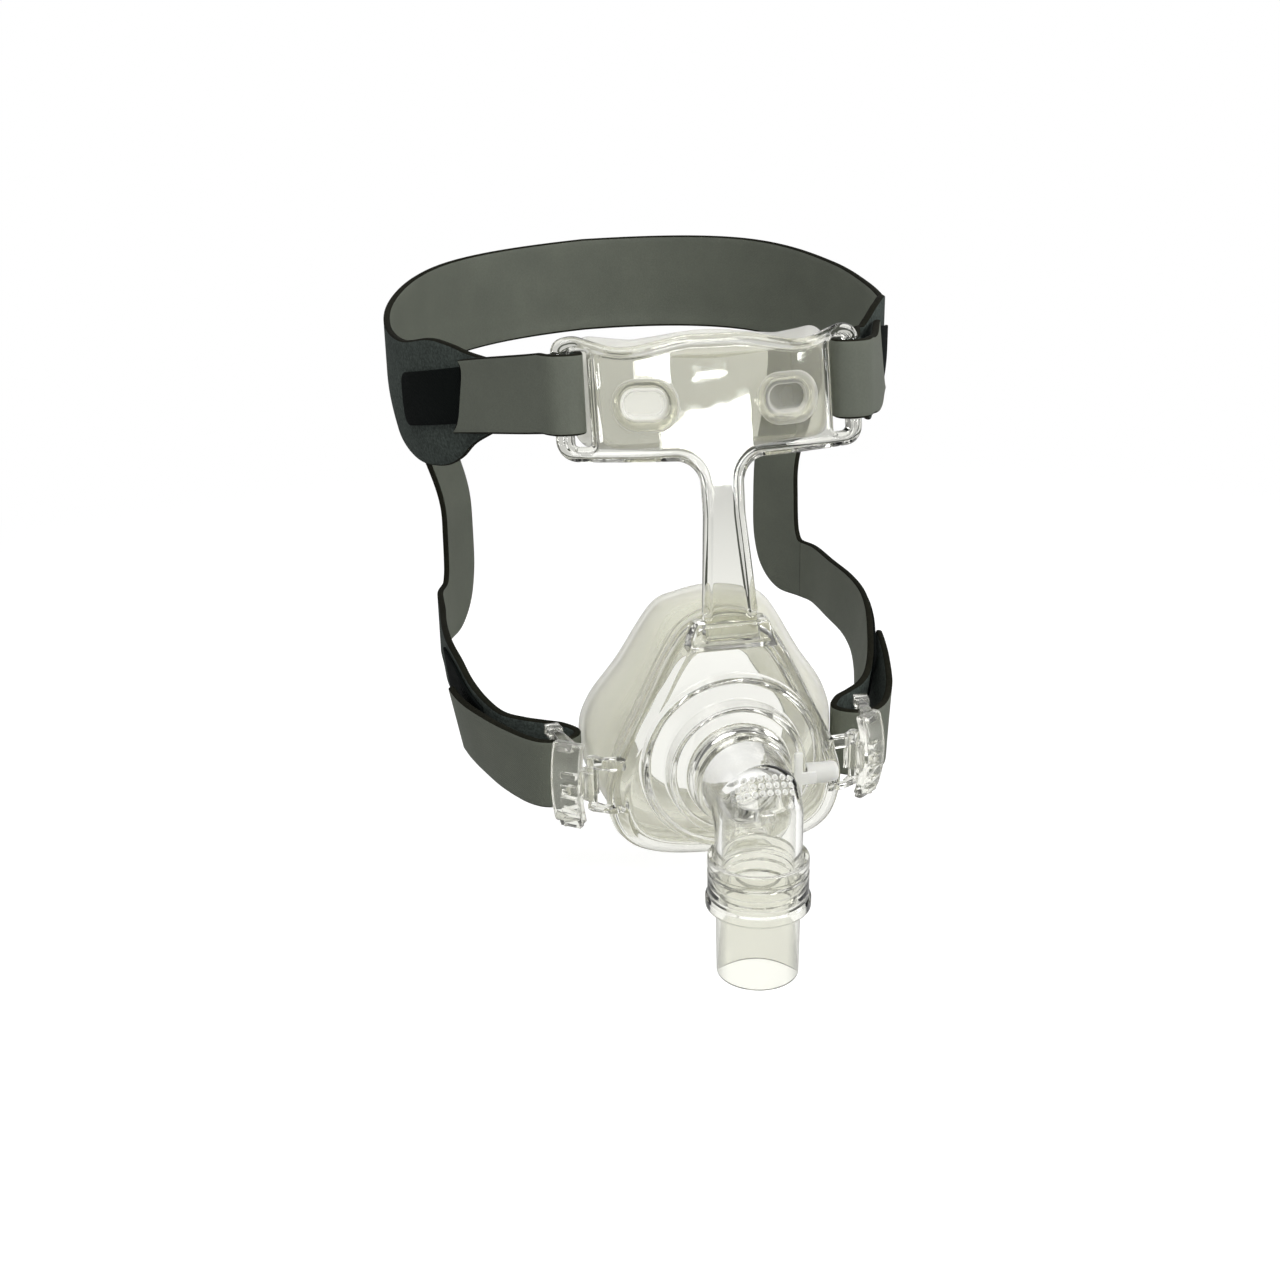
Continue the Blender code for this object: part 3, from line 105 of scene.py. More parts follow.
def linear(colour):
    """Linear colour of an sRGB hex value: a part over 12.92 in the darks, else a power of 2.4."""
    part = np.array([int(colour[i:i + 2], 16) for i in (1, 3, 5)]) / 255
    part = np.where(part <= 0.04045, part / 12.92, ((part + 0.055) / 1.055) ** 2.4)
    return (*part.tolist(), 1.0)


def add(tree, kind, inputs=(), links=(), **settings):
    """Adds a node with its settings, its inputs' values, and links from other nodes' sockets."""
    made = tree.nodes.new(kind)
    for name, value in settings.items():
        setattr(made, name, value)
    for name, value in dict(inputs).items():
        made.inputs[name].default_value = value
    for name, socket in dict(links).items():
        tree.links.new(socket, made.inputs[name])
    return made


def ramp(tree, value, start=0.0, end=1.0, low=0.0, high=1.0, kind="LINEAR"):
    """Socket that goes from low to high while a socket's value goes from start to end."""
    return add(tree, "ShaderNodeMapRange",
               {"From Min": start, "From Max": end, "To Min": low, "To Max": high}, {"Value": value},
               interpolation_type=kind).outputs["Result"]


def computed(tree, operation, first, second, clamp=False):
    """Socket of a math operation on two sockets."""
    return add(tree, "ShaderNodeMath", (), {0: first, 1: second}, operation=operation, use_clamp=clamp).outputs[0]


def mixed(tree, share, first, second):
    """Node that mixes the shaders of two nodes, all first at a share of 0 and all second at 1."""
    return add(tree, "ShaderNodeMixShader", (), {0: share, 1: first.outputs[0], 2: second.outputs[0]})


def new_material(name):
    """Empty node material and its output node."""
    made = bpy.data.materials.new(name)
    made.use_nodes = True
    made.node_tree.nodes.clear()
    return made, made.node_tree, add(made.node_tree, "ShaderNodeOutputMaterial")


def polycarbonate(name, tint, edge_tint_and_shade, roughness, ripple, clearness=1.0):
    """Clear moulded polycarbonate: refracts at 1.58, and lamps shine through it.

    Where a wall is seen along its side it is painted greyer: a little of that is the longer way that light
    takes through the wall, the rest is painted shade for the dark room that such edges mirror and refract.
    The skin has the faint ripple of a moulded surface, about 7 mm from crest to crest.
    """
    made, tree, out = new_material(name)
    place = add(tree, "ShaderNodeTexCoord")
    wave = add(tree, "ShaderNodeTexNoise", {"Scale": 140.0, "Detail": 1.0}, {"Vector": place.outputs["Object"]})
    relief = add(tree, "ShaderNodeBump", {"Strength": ripple, "Distance": 0.0004},
                 {"Height": wave.outputs["Fac"]})
    # Painted shade: side on, the base colour turns to a grey far darker than the wall's own tint.
    side_on = add(tree, "ShaderNodeLayerWeight", {"Blend": 0.5})
    colour = add(tree, "ShaderNodeMix", {"A": linear(tint), "B": linear(edge_tint_and_shade)},
                 {"Factor": ramp(tree, side_on.outputs["Facing"], 0.45, 0.95)}, data_type="RGBA")
    glass = add(tree, "ShaderNodeBsdfPrincipled",
                {"Roughness": roughness, "IOR": 1.58, "Transmission Weight": clearness},
                {"Base Color": colour.outputs["Result"], "Normal": relief.outputs["Normal"]})
    open_way = add(tree, "ShaderNodeBsdfTransparent", {"Color": (0.88, 0.88, 0.87, 1.0)})
    path = add(tree, "ShaderNodeLightPath")
    mix = mixed(tree, path.outputs["Is Shadow Ray"], glass, open_way)
    tree.links.new(mix.outputs[0], out.inputs["Surface"])
    return made


def grid_faces(rows, columns, wrap_rows=False, wrap_columns=False):
    """Quads between neighbouring points of a grid, joined round where it wraps."""
    index = np.arange(rows * columns).reshape(rows, columns)
    if wrap_rows:
        index = np.vstack([index, index[:1]])
    if wrap_columns:
        index = np.hstack([index, index[:, :1]])
    return np.stack([index[:-1, :-1], index[:-1, 1:], index[1:, 1:], index[1:, :-1]], -1).reshape(-1, 4)


def placed(name, mesh, sharp, merge=2e-6, outwards=True):
    """Object of a mesh with its doubled points merged, smooth except at edges sharper than an angle.

    Its faces are turned outwards. Where a cut has left them so, its slivers are dissolved instead.
    """
    shape = bmesh.new()
    shape.from_mesh(mesh)
    bmesh.ops.remove_doubles(shape, verts=shape.verts, dist=merge)
    if outwards:
        bmesh.ops.recalc_face_normals(shape, faces=shape.faces)
    else:
        bmesh.ops.dissolve_degenerate(shape, edges=shape.edges, dist=merge / 2)
    shape.to_mesh(mesh)
    shape.free()
    mesh.shade_smooth()
    mesh.set_sharp_from_angle(angle=math.radians(sharp))
    made = bpy.data.objects.new(name, mesh)
    scene.collection.objects.link(made)
    return made


def piece(name, points, faces, material=None, sharp=38.0):
    """Mesh object of points and faces."""
    mesh = bpy.data.meshes.new(name)
    mesh.from_pydata(np.asarray(points, float).reshape(-1, 3).tolist(), [], [list(map(int, f)) for f in faces])
    if material:
        mesh.materials.append(material)
    return placed(name, mesh, sharp)


def torus_like(name, rings, material=None, sharp=38.0):
    """Closed skin through a grid of rings that wraps both ways."""
    rings = np.asarray(rings, float)
    return piece(name, rings, grid_faces(*rings.shape[:2], True, True), material, sharp)


def capped(name, rings, material=None, sharp=38.0):
    """Skin through rings, with a flat face at each end."""
    rings = np.asarray(rings, float)
    rows, columns = rings.shape[:2]
    faces = grid_faces(rows, columns, False, True).tolist()
    faces += [list(range(columns)), list(range((rows - 1) * columns, rows * columns))]
    return piece(name, rings, faces, material, sharp)


def rounded(corners, radii, segments=6):
    """Outlines whose corners are arcs that touch both sides, at most as large as the sides allow.

    The corners are an array (..., corners, 2), and each arc is one turn about the corner's centre.
    """
    corners = np.asarray(corners, float)
    before = np.roll(corners, 1, -2) - corners
    after = np.roll(corners, -1, -2) - corners
    near, far = np.linalg.norm(before, axis=-1), np.linalg.norm(after, axis=-1)
    before, after = before / near[..., None], after / far[..., None]
    half = np.arccos(np.clip((before * after).sum(-1), -0.99999, 0.99999)) / 2
    cut = np.minimum(np.asarray(radii) / np.tan(half), 0.47 * np.minimum(near, far))
    radius = cut * np.tan(half)
    middle = before + after
    middle /= np.linalg.norm(middle, axis=-1)[..., None]
    centre = corners + middle * (radius / np.sin(half))[..., None]
    start = corners + before * cut[..., None] - centre
    end = corners + after * cut[..., None] - centre
    turn = (math.pi - 2 * half) * np.sign(start[..., 0] * end[..., 1] - start[..., 1] * end[..., 0])
    angle = turn[..., None] * np.linspace(0, 1, segments + 1)
    square = np.stack([-start[..., 1], start[..., 0]], -1)
    arc = (start[..., None, :] * np.cos(angle)[..., None] + square[..., None, :] * np.sin(angle)[..., None]
           + centre[..., None, :])
    return arc.reshape(*corners.shape[:-2], -1, 2)


def curve_through(points, per_span, closed=False):
    """Catmull-Rom curve: a cubic between each two points, with slopes set by their neighbours."""
    points = np.asarray(points, float)
    if closed:
        run = np.vstack([points[-1:], points, points[:2]])
    else:
        run = np.vstack([2 * points[0] - points[1], points, 2 * points[-1] - points[-2]])
    a, b, c, d = (run[i:len(run) - 3 + i, None] for i in range(4))
    t = np.linspace(0, 1, per_span, endpoint=False)[:, None]
    curve = 0.5 * (2 * b + (c - a) * t + (2 * a - 5 * b + 4 * c - d) * t**2 + (3 * b - a - 3 * c + d) * t**3)
    curve = curve.reshape(-1, points.shape[1])
    return curve if closed else np.vstack([curve, points[-1:]])


AROUND = np.linspace(-math.pi, math.pi, 264, endpoint=False)


def outline_radius(half):
    """Radius at each angle about the bore of the smooth outline through a half and its mirror image."""
    half = np.array(half)
    loop = curve_through(np.vstack([half, half[-2:0:-1] * (-1, 1)]), 40, closed=True)
    turn = np.arctan2(loop[:, 1], loop[:, 0])
    order = np.argsort(turn)
    return np.interp(AROUND, turn[order], np.hypot(*loop[order].T), period=2 * math.pi)


def shell_profile(table):
    """Corners (angles, corners, 2) of radius and depth: the smaller of a circle and a share of the outline.

    Past the collar's mouth no corner is nearer the axis than the one before it.
    """
    table = np.array(table)
    radius = np.minimum(table[:, 0], table[:, 1] * SHELL_R[:, None])
    radius = np.hstack([radius[:, :3], np.maximum.accumulate(radius[:, 3:], axis=1)])
    return np.stack([radius, np.broadcast_to(table[:, 2], radius.shape)], -1)


def about_bore(profile):
    """Points of radius and depth pairs (angles, count, 2) swung round the bore axis.

    x is the radius times the angle's cosine, z the radius times its sine, and y the depth.
    """
    radius, depth = profile[..., 0], profile[..., 1]
    angle = AROUND[:, None]
    return np.stack([radius * np.cos(angle), depth - SEAL_DEPTH, radius * np.sin(angle)], -1)


def rectangle(low_x, high_x, low_y, high_y):
    """The four corners of a rectangle between low and high sides, in their order round it."""
    return [(low_x, low_y), (high_x, low_y), (high_x, high_y), (low_x, high_y)]


def bevelled(made, width, segments=3, sharper=30.0):
    """The piece with its edges sharper than an angle rounded by a Bevel."""
    edges = made.modifiers.new("Edges", "BEVEL")
    edges.width, edges.segments = width, segments
    edges.limit_method, edges.angle_limit = "ANGLE", math.radians(sharper)
    return made


def prism(name, outline, low, high, bevel=0.0, segments=3):
    """Upright solid of a plan outline (x, depth) between two heights, its edges rounded by a Bevel."""
    outline = np.asarray(outline, float)
    made = capped(name, [np.column_stack([outline[:, 0], outline[:, 1] - SEAL_DEPTH, np.full(len(outline), z)])
                         for z in (low, high)])
    return bevelled(made, bevel, segments) if bevel else made


def round_bar(name, start, end, radius, steps=32):
    """Round bar between two points: a circle at each, square to the line that joins them."""
    start, end = np.array(start, float), np.array(end, float)
    along = (end - start) / np.linalg.norm(end - start)
    side = np.cross(along, (0.0, 0.6, 0.8) if abs(along[0]) > 0.5 else (1.0, 0.0, 0.0))
    side /= np.linalg.norm(side)
    up = np.cross(along, side)
    turn = np.linspace(0, 2 * math.pi, steps, endpoint=False)[:, None]
    ring = radius * (np.cos(turn) * side + np.sin(turn) * up)
    return capped(name, [start + ring, end + ring])


def moulded(name, target, added, cut, material, sharp=32.0, cut_material=None):
    """Exact union of the target with some solids, less others, kept as one plain mesh.

    The faces that a cut leaves may have a material of their own.
    """
    if cut_material:
        target.data.materials.append(material)
        for other in cut:
            other.data.materials.append(cut_material)
    for operation, group in (("UNION", added), ("DIFFERENCE", cut)):
        for other in group:
            step = target.modifiers.new(operation, "BOOLEAN")
            step.operation, step.object, step.solver = operation, other, "EXACT"
            step.material_mode = "TRANSFER"
    bpy.context.view_layer.update()
    mesh = bpy.data.meshes.new_from_object(target.evaluated_get(bpy.context.evaluated_depsgraph_get()))
    for old in (target, *added, *cut):
        bpy.data.objects.remove(old)
    mesh.name = name
    if not cut_material:
        mesh.materials.clear()
        mesh.materials.append(material)
    return placed(name, mesh, sharp, 4e-6, outwards=False)


# Injection moulded: glossy, nearly colourless, with the faint waves of a mould that isn't polished flat.
clear = polycarbonate("moulded_clear_polycarbonate", "#EBEBE5", "#85857E", 0.02, 0.08)
SHELL_R = outline_radius(SHELL_HALF)
both_sides = np.concatenate([shell_profile(SHELL_OUTSIDE), shell_profile(SHELL_INSIDE)[:, ::-1]], 1)
both_radii = np.concatenate([np.array(SHELL_OUTSIDE)[:, 3], np.array(SHELL_INSIDE)[::-1, 3]])
shell = torus_like("shell_body", about_bore(rounded(both_sides, both_radii, 5)))

SOCKET_BACK = 0.0150
socket = bevelled(capped("socket", [
    [(x, depth - SEAL_DEPTH, z) for x, depth in rectangle(-half_width, half_width, front, SOCKET_BACK)]
    for z, half_width, front in ((0.0330, 0.0128, 0.0074), (0.0408, 0.0100, 0.0080))]), 0.0011)
pocket = prism("pocket", rectangle(-0.0074, 0.0074, 0.0088, 0.0136), 0.0353, 0.051)
nozzle = round_bar("nozzle", (0.0180, PORT_Y, PORT_Z), (0.0260, PORT_Y, PORT_Z), 0.0020)
nozzle_bore = round_bar("nozzle_bore", (0.0140, PORT_Y, PORT_Z), (0.0270, PORT_Y, PORT_Z), 0.0010, 20)
LUG_PLAN = rounded([(0.0285, 0.0118), (0.0335, 0.0124), (0.0382, 0.0152), (0.0392, 0.0168), (0.0384, 0.0184),
                    (0.0366, 0.0182), (0.0345, 0.0158), (0.0292, 0.0152)], [0.0008] * 8, 4)
lugs = []
for side in (-1, 1):
    for low, high in ((-0.0010, 0.0022), (-0.0138, -0.0120)):
        lugs.append(prism("lug", LUG_PLAN * (side, 1), low, high, 0.0004))
    lugs.append(round_bar("lug_bar", (side * LUG_X, LUG_DEPTH - SEAL_DEPTH, -0.0128),
                          (side * LUG_X, LUG_DEPTH - SEAL_DEPTH, 0.0012), 0.0013))
shell = moulded("mask_shell_clear", shell, [socket, nozzle, *lugs], [pocket, nozzle_bore], clear)
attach(shell, "mask")
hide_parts("mask_shell")

# Port cap. A milky silicone plug pulled over the port nozzle, with a short strap that lies on the terrace.


def silicone(name, colour, clearness, roughness, haze):
    """Moulded silicone rubber: a soft, faintly milky body that is clearer face on than at its edges.

    Its grain is 1.1 mm, coarser than a real mould's blasting so that it shows.
    """
    made, tree, out = new_material(name)
    place = add(tree, "ShaderNodeTexCoord")
    grain = add(tree, "ShaderNodeTexNoise", {"Scale": 900.0, "Detail": 2.0},
                {"Vector": place.outputs["Object"]})
    relief = add(tree, "ShaderNodeBump", {"Strength": 0.12, "Distance": 0.0002},
                 {"Height": grain.outputs["Fac"]})
    body = add(tree, "ShaderNodeBsdfPrincipled", {
        "Base Color": linear(colour), "Roughness": roughness, "IOR": 1.41,
        "Subsurface Weight": 0.5, "Subsurface Radius": (0.004, 0.004, 0.0035), "Subsurface Scale": 1.0,
    }, {"Normal": relief.outputs["Normal"]})
    through = add(tree, "ShaderNodeBsdfTransparent", {"Color": linear(haze)})
    rim = add(tree, "ShaderNodeLayerWeight", {"Blend": 0.35})
    mix = mixed(tree, ramp(tree, rim.outputs["Facing"], low=1.0 - clearness), through, body)
    tree.links.new(mix.outputs[0], out.inputs["Surface"])
    return made


# Moulded thick, so it is a cloudy white with a dull sheen.
milky = silicone("milky_silicone_moulding", "#FEFEF8", 0.42, 0.34, "#F6F6F0")
cap_turn = np.linspace(0, 2 * math.pi, 48, endpoint=False)[:, None]
cap_profile = rounded([(0.0193, 0.0023), (0.0193, 0.0030), (0.0205, 0.0030), (0.0283, 0.0028), (0.0283, 0.00002),
                       (0.0263, 0.00002), (0.0263, 0.0023)],
                      [0.0002, 0.0003, 0.0003, 0.0011, 0.0, 0.0, 0.0002], 5)
cap = torus_like("port_cap_body", np.stack([np.broadcast_to(cap_profile[:, 0], (48, len(cap_profile))),
                                            PORT_Y + cap_profile[:, 1] * np.cos(cap_turn),
                                            PORT_Z + cap_profile[:, 1] * np.sin(cap_turn)], -1))
tether = prism("tether", rectangle(0.0152, 0.0176, 0.0003, 0.0014), PORT_Z - 0.00465, PORT_Z + 0.00785, 0.0004)
web = prism("web", rectangle(0.0164, 0.0216, 0.0003, 0.0014), PORT_Z - 0.0017, PORT_Z + 0.0017, 0.0002, 2)
cap = moulded("port_cap_silicone", cap, [tether, web], [], milky)
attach(cap, "mask")
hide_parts("port_cap")

# Face cushion. A silicone skirt snapped behind the shell's rim: a flange, one bellows fold, and a lip
# that rolls in on the face.
FACE_HALF = (
    (0.0, 0.0430), (0.0090, 0.0415), (0.0165, 0.0375), (0.0262, 0.0215),
    (0.0340, 0.0095), (0.0368, -0.0010), (0.0340, -0.0140), (0.0215, -0.0270), (0.0, -0.0310),
)
CHEEK_FALL = 0.008  # how much deeper the lip lies at its widest than at its middle
LIP_WALL = 0.0015
FACE_R = outline_radius(FACE_HALF)
front = RIM_DEPTH + CLEARANCE
middle_r = (SHELL_R + FACE_R) / 2
cheek = CHEEK_FALL * (FACE_R * np.cos(AROUND) / 0.0368) ** 2
flat = np.zeros_like(AROUND)


def cushion_side(rows, per_span):
    """Smooth skin of one side through (radius, depth) rows, each an array round the bore."""
    table = np.stack([np.stack([flat + radius, flat + depth], -1) for radius, depth in rows])
    return curve_through(table.reshape(len(rows), -1), per_span).reshape(-1, len(AROUND), 2)


flange = rounded(np.stack([np.stack([flat + r, flat + d], -1) for r, d in (
    (0.88 * SHELL_R, front), (SHELL_R + 0.0006, front), (SHELL_R + 0.0006, front + 0.0023),
    (0.952 * SHELL_R, front + 0.0027))], 1), [0.0002, 0.0006, 0.0006, 0.0004], 4)
outer = cushion_side((
    (0.949 * SHELL_R, front + 0.0030), (0.945 * SHELL_R, front + 0.0049), (0.995 * SHELL_R, front + 0.0067),
    (0.955 * SHELL_R, front + 0.0087), (middle_r, front + 0.0118 + 0.25 * cheek),
    (FACE_R, SEAL_DEPTH - 0.0052 + 0.5 * cheek), (FACE_R, SEAL_DEPTH - 0.0018 + cheek),
    (0.965 * FACE_R, SEAL_DEPTH + cheek), (0.87 * FACE_R, SEAL_DEPTH + cheek),
    (0.72 * FACE_R, SEAL_DEPTH - 0.0022 + 0.7 * cheek), (0.60 * FACE_R, SEAL_DEPTH - 0.0062 + 0.4 * cheek)), 5)
inner = cushion_side((
    (0.61 * FACE_R, SEAL_DEPTH - 0.0077 + 0.4 * cheek), (0.73 * FACE_R, SEAL_DEPTH - 0.0037 + 0.68 * cheek),
    (0.87 * FACE_R, SEAL_DEPTH - LIP_WALL + 0.97 * cheek),
    (0.965 * FACE_R - LIP_WALL / 2, SEAL_DEPTH - LIP_WALL + 0.97 * cheek),
    (FACE_R - LIP_WALL, SEAL_DEPTH - 0.0024 + 0.97 * cheek),
    (FACE_R - LIP_WALL, SEAL_DEPTH - 0.0048 + 0.5 * cheek),
    (middle_r - LIP_WALL, front + 0.0122 + 0.25 * cheek), (0.905 * SHELL_R, front + 0.0087),
    (0.945 * SHELL_R, front + 0.0067), (0.895 * SHELL_R, front + 0.0049), (0.893 * SHELL_R, front + 0.0027)), 5)
# Moulded thin, so it is hazy and see-through face on, yellower and denser towards its edges, and glossy.
soft_clear = silicone("clear_silicone_moulding", "#F1F0E9", 0.93, 0.18, "#F3F3EE")
cushion_rings = np.concatenate([flange, outer.transpose(1, 0, 2), inner.transpose(1, 0, 2)], 1)
cushion = torus_like("face_cushion_silicone", about_bore(cushion_rings), soft_clear, 60.0)
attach(cushion, "mask")
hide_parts("face_cushion")

# Elbow. A clear moulding that snaps into the bore: it runs forwards, turns down on a mitre, and has
# its outer corner cut by a shallow cylinder, which is the face with the exhaust vents.
ELBOW_R = 0.0115
ELBOW_WALL = 0.0018
LEG_FORWARD = 0.0182  # of the leg's line before the depth's start
LEG_END = -0.0244
CORNER_CUT = 0.0226  # how far along the diagonal the cutting cylinder's face is
CORNER_CUT_R = 0.0200
CORNER_EASE = 0.0016  # of the blend between pipe and cut
VENT_ROWS, VENT_COLUMNS, VENT_PITCH = 3, 8, 0.00205
VENT_CENTRE = 0.0113  # down the diagonal
VENT_STEPS = ((-0.0040, 0.00050), (-0.0006, 0.00050), (-0.0001, 0.00085), (0.0030, 0.00095))  # out, radius
elbow_turn = np.linspace(0, 2 * math.pi, 160, endpoint=False)


def elbow_skin(radius, cut_radius, bore_steps, leg_steps):
    """Pipe of straight lines in upright planes: back along the bore, down the corner cut, down the leg.

    In the plane at x the bore's line is at height up, the leg's as far forwards, and the cut takes
    off what is further along the diagonal than the cutting cylinder. bore_steps and leg_steps
    are (place, extra radius) pairs.
    """
    x, up = radius * np.cos(elbow_turn), radius * np.sin(elbow_turn)
    reach = CORNER_CUT - CORNER_CUT_R + np.sqrt(cut_radius**2 - x**2)
    over = LEG_FORWARD + 2 * up - math.sqrt(2) * reach
    least = np.minimum(0.0040, LEG_FORWARD - 0.0052 + up)
    cut = 0.5 * (over + least + np.sqrt((over - least)**2 + CORNER_EASE**2))
    corner_depth = -LEG_FORWARD - up
    rows = []
    for depth, extra in bore_steps:
        grown = 1 + extra / radius
        rows.append(np.stack([x * grown, np.full_like(x, depth - SEAL_DEPTH), up * grown], -1))
    stations = np.stack([np.stack([flat_depth, height], -1) for flat_depth, height in (
        (np.full_like(x, bore_steps[-1][0]), up), (corner_depth + cut, up), (corner_depth, up - cut),
        (corner_depth, np.full_like(x, leg_steps[0][0])))], 1)
    line = rounded(stations, [0.0, 0.0038, 0.0038, 0.0], 9)[:, 10:30]
    rows += [np.stack([x, line[:, i, 0] - SEAL_DEPTH, line[:, i, 1]], -1) for i in range(line.shape[1])]
    for z, extra in leg_steps:
        grown = 1 + extra / radius
        rows.append(np.stack([x * grown, -LEG_FORWARD - SEAL_DEPTH - up * grown, np.full_like(x, z)], -1))
    return rows


elbow_outside = elbow_skin(ELBOW_R, CORNER_CUT_R, (
    (0.0053, -0.0002), (0.0053, 0.0), (0.0049, 0.0008), (0.0037, 0.0008), (0.0034, 0.0), (0.0030, 0.0),
), ((-0.0185, 0.0), (-0.0190, 0.0), (-0.0196, 0.0008), (-0.0210, 0.0008), (-0.0216, 0.0), (-0.0241, 0.0),
    (LEG_END, -0.0003)))
elbow_inside = elbow_skin(ELBOW_R - ELBOW_WALL, CORNER_CUT_R - ELBOW_WALL,
                          ((0.0053, 0.0), (0.0030, 0.0)), ((-0.0185, 0.0), (LEG_END, 0.0)))
elbow = torus_like("elbow_body", np.array(elbow_outside + elbow_inside[::-1]))
vents = []
away, down = np.array((0.0, -1.0, 1.0)) / math.sqrt(2), np.array((0.0, -1.0, -1.0)) / math.sqrt(2)
vent_turn = np.linspace(0, 2 * math.pi, 14, endpoint=False)[:, None]
vent_circle = np.cos(vent_turn) * (1.0, 0.0, 0.0) + np.sin(vent_turn) * down
for row in range(VENT_ROWS):
    for column in range(VENT_COLUMNS):
        x = (column - (VENT_COLUMNS - 1) / 2) * VENT_PITCH
        mouth = (np.array((x, -SEAL_DEPTH, 0.0)) + down * (VENT_CENTRE + (row - 1) * VENT_PITCH)
                 + away * (CORNER_CUT - CORNER_CUT_R + math.sqrt(CORNER_CUT_R**2 - x**2)))
        vents.append(capped("vent", [mouth + away * up + radius * vent_circle for up, radius in VENT_STEPS]))
bpy.context.view_layer.update()
holes = vents[0]
with bpy.context.temp_override(active_object=holes, selected_editable_objects=vents):
    bpy.ops.object.join()
# The mould of the elbow is polished, so it is the brightest and clearest piece. Its drilled vents have
# matt walls that scatter the light, which makes each one a white dot.
polished_clear = polycarbonate("polished_clear_polycarbonate", "#F8F8F5", "#85857E", 0.02, 0.08)
vent_walls = polycarbonate("matt_vent_walls", "#FFFFFC", "#FAFAF6", 0.65, 0.0, 0.35)
elbow = moulded("elbow_clear", elbow, [], [holes], polished_clear, 30.0, vent_walls)
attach(elbow, "elbow")
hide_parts("elbow")

# Hose swivel. A clear collar that snaps over the elbow's leg, with a thumb flange and a 22 mm cone for the
# hose, moulded in one.
SWIVEL_PROFILE = (  # radius, height, corner radius
    (0.0134, -0.0145, 0.0004), (0.0134, -0.0172, 0.0002), (0.0131, -0.0176, 0.0002), (0.0131, -0.0184, 0.0002),
    (0.0134, -0.0188, 0.0002), (0.0134, -0.0256, 0.0004), (0.0140, -0.0262, 0.0004), (0.0140, -0.0289, 0.0006),
    (0.01125, -0.0289, 0.0006), (0.0110, -0.0490, 0.0004), (0.0096, -0.0490, 0.0004), (0.0096, -0.0250, 0.0004),
    (0.0119, -0.0250, 0.0003), (0.0119, -0.0219, 0.0001), (0.0126, -0.0218, 0.0002), (0.0126, -0.0190, 0.0002),
    (0.0119, -0.0189, 0.0001), (0.0119, -0.0145, 0.0004),
)


def turned(name, table, centre, material, steps=128):
    """Closed profile of (radius, height, corner radius) turned about an upright line."""
    table = np.array(table)
    profile = rounded(table[:, :2], table[:, 2], 4)
    turn = np.linspace(0, 2 * math.pi, steps, endpoint=False)[:, None]
    return torus_like(name, np.stack([centre[0] + profile[:, 0] * np.cos(turn),
                                      centre[1] + profile[:, 0] * np.sin(turn),
                                      np.broadcast_to(profile[:, 1], (steps, len(profile)))], -1), material, 50.0)


# Thick walls, so the plastic's own grey tint tells a little more than in the shell.
thick_clear = polycarbonate("thick_clear_polycarbonate", "#EAEAE3", "#85857E", 0.02, 0.04)
swivel = turned("hose_swivel_clear", SWIVEL_PROFILE, (0.0, -LEG_FORWARD - SEAL_DEPTH), thick_clear)
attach(swivel, "hose_swivel")
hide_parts("hose_swivel")

# Forehead support. A clear stem and curved plate in one moulding, stiffened by a bead round its edge and
# round each strap slot. Its foot is pushed into the shell's socket.
PLATE_T = 0.0026
BEAD = 0.0013
FOOT_TOP = 0.0412  # where the foot leaves the socket and the bead begins
PLUG_X, PLUG_Z = 0.0193, 0.0966
PLUG_HALF_WIDTH, PLUG_HALF_HEIGHT = 0.0066, 0.0046
NET_STEP, NET_MARGIN = 0.0012, 0.00012


def plate_depth(x, z):
    """Depth of the plate's front: it leans back a quarter with height and bends round a 100 mm forehead."""
    return 0.0102 + 0.25 * (z - 0.040) + x * x / 0.200


def spaced(loop, step):
    """Points at even steps along a closed loop, between its own points on straight lines."""
    loop = np.vstack([loop, loop[:1]])
    run = np.concatenate([[0], np.cumsum(np.hypot(*np.diff(loop, axis=0).T))])
    at = np.linspace(0, run[-1], max(8, int(run[-1] / step)), endpoint=False)
    return np.column_stack([np.interp(at, run, loop[:, 0]), np.interp(at, run, loop[:, 1])])


def inward(loop, distance):
    """The loop moved sideways, to its left, by a distance at each point."""
    ahead = np.roll(loop, -1, 0) - np.roll(loop, 1, 0)
    ahead /= np.hypot(*ahead.T)[:, None]
    return loop + np.column_stack([-ahead[:, 1], ahead[:, 0]]) * np.asarray(distance).reshape(-1, 1)


def distance_to(points, loop):
    """Distance from each point to the nearest side of a closed loop."""
    a, b = loop, np.roll(loop, -1, 0)
    side = b - a
    rel = points[:, None] - a
    share = np.clip((rel * side).sum(-1) / (side * side).sum(-1), 0, 1)
    return np.sqrt(((rel - share[..., None] * side) ** 2).sum(-1).min(1))


def within(points, loop):
    """True where a point is inside a closed loop: a line from it crosses the loop an odd number of times."""
    a, b = loop, np.roll(loop, -1, 0)
    x, z = points[:, :1], points[:, 1:]
    spans = (a[:, 1] > z) != (b[:, 1] > z)
    rise = np.where(b[:, 1] == a[:, 1], 1e-12, b[:, 1] - a[:, 1])
    crossing = a[:, 0] + (z - a[:, 1]) / rise * (b[:, 0] - a[:, 0])
    return (spans & (x < crossing)).sum(1) % 2 == 1


def nearest(points, group):
    """Distance from each point to the nearest of several loops."""
    return np.min([distance_to(points, loop) for loop in group], 0)


def eased(value, start, length):
    """0 before a start, 1 after a length, and 3t^2 - 2t^3 between."""
    share = np.clip((value - start) / length, 0, 1)
    return share * share * (3 - 2 * share)


def swell(distance, place, width):
    """Bell curve: 1 at a place, and e to the minus square of the distance from it in widths."""
    return np.exp(-((distance - place) / width) ** 2)


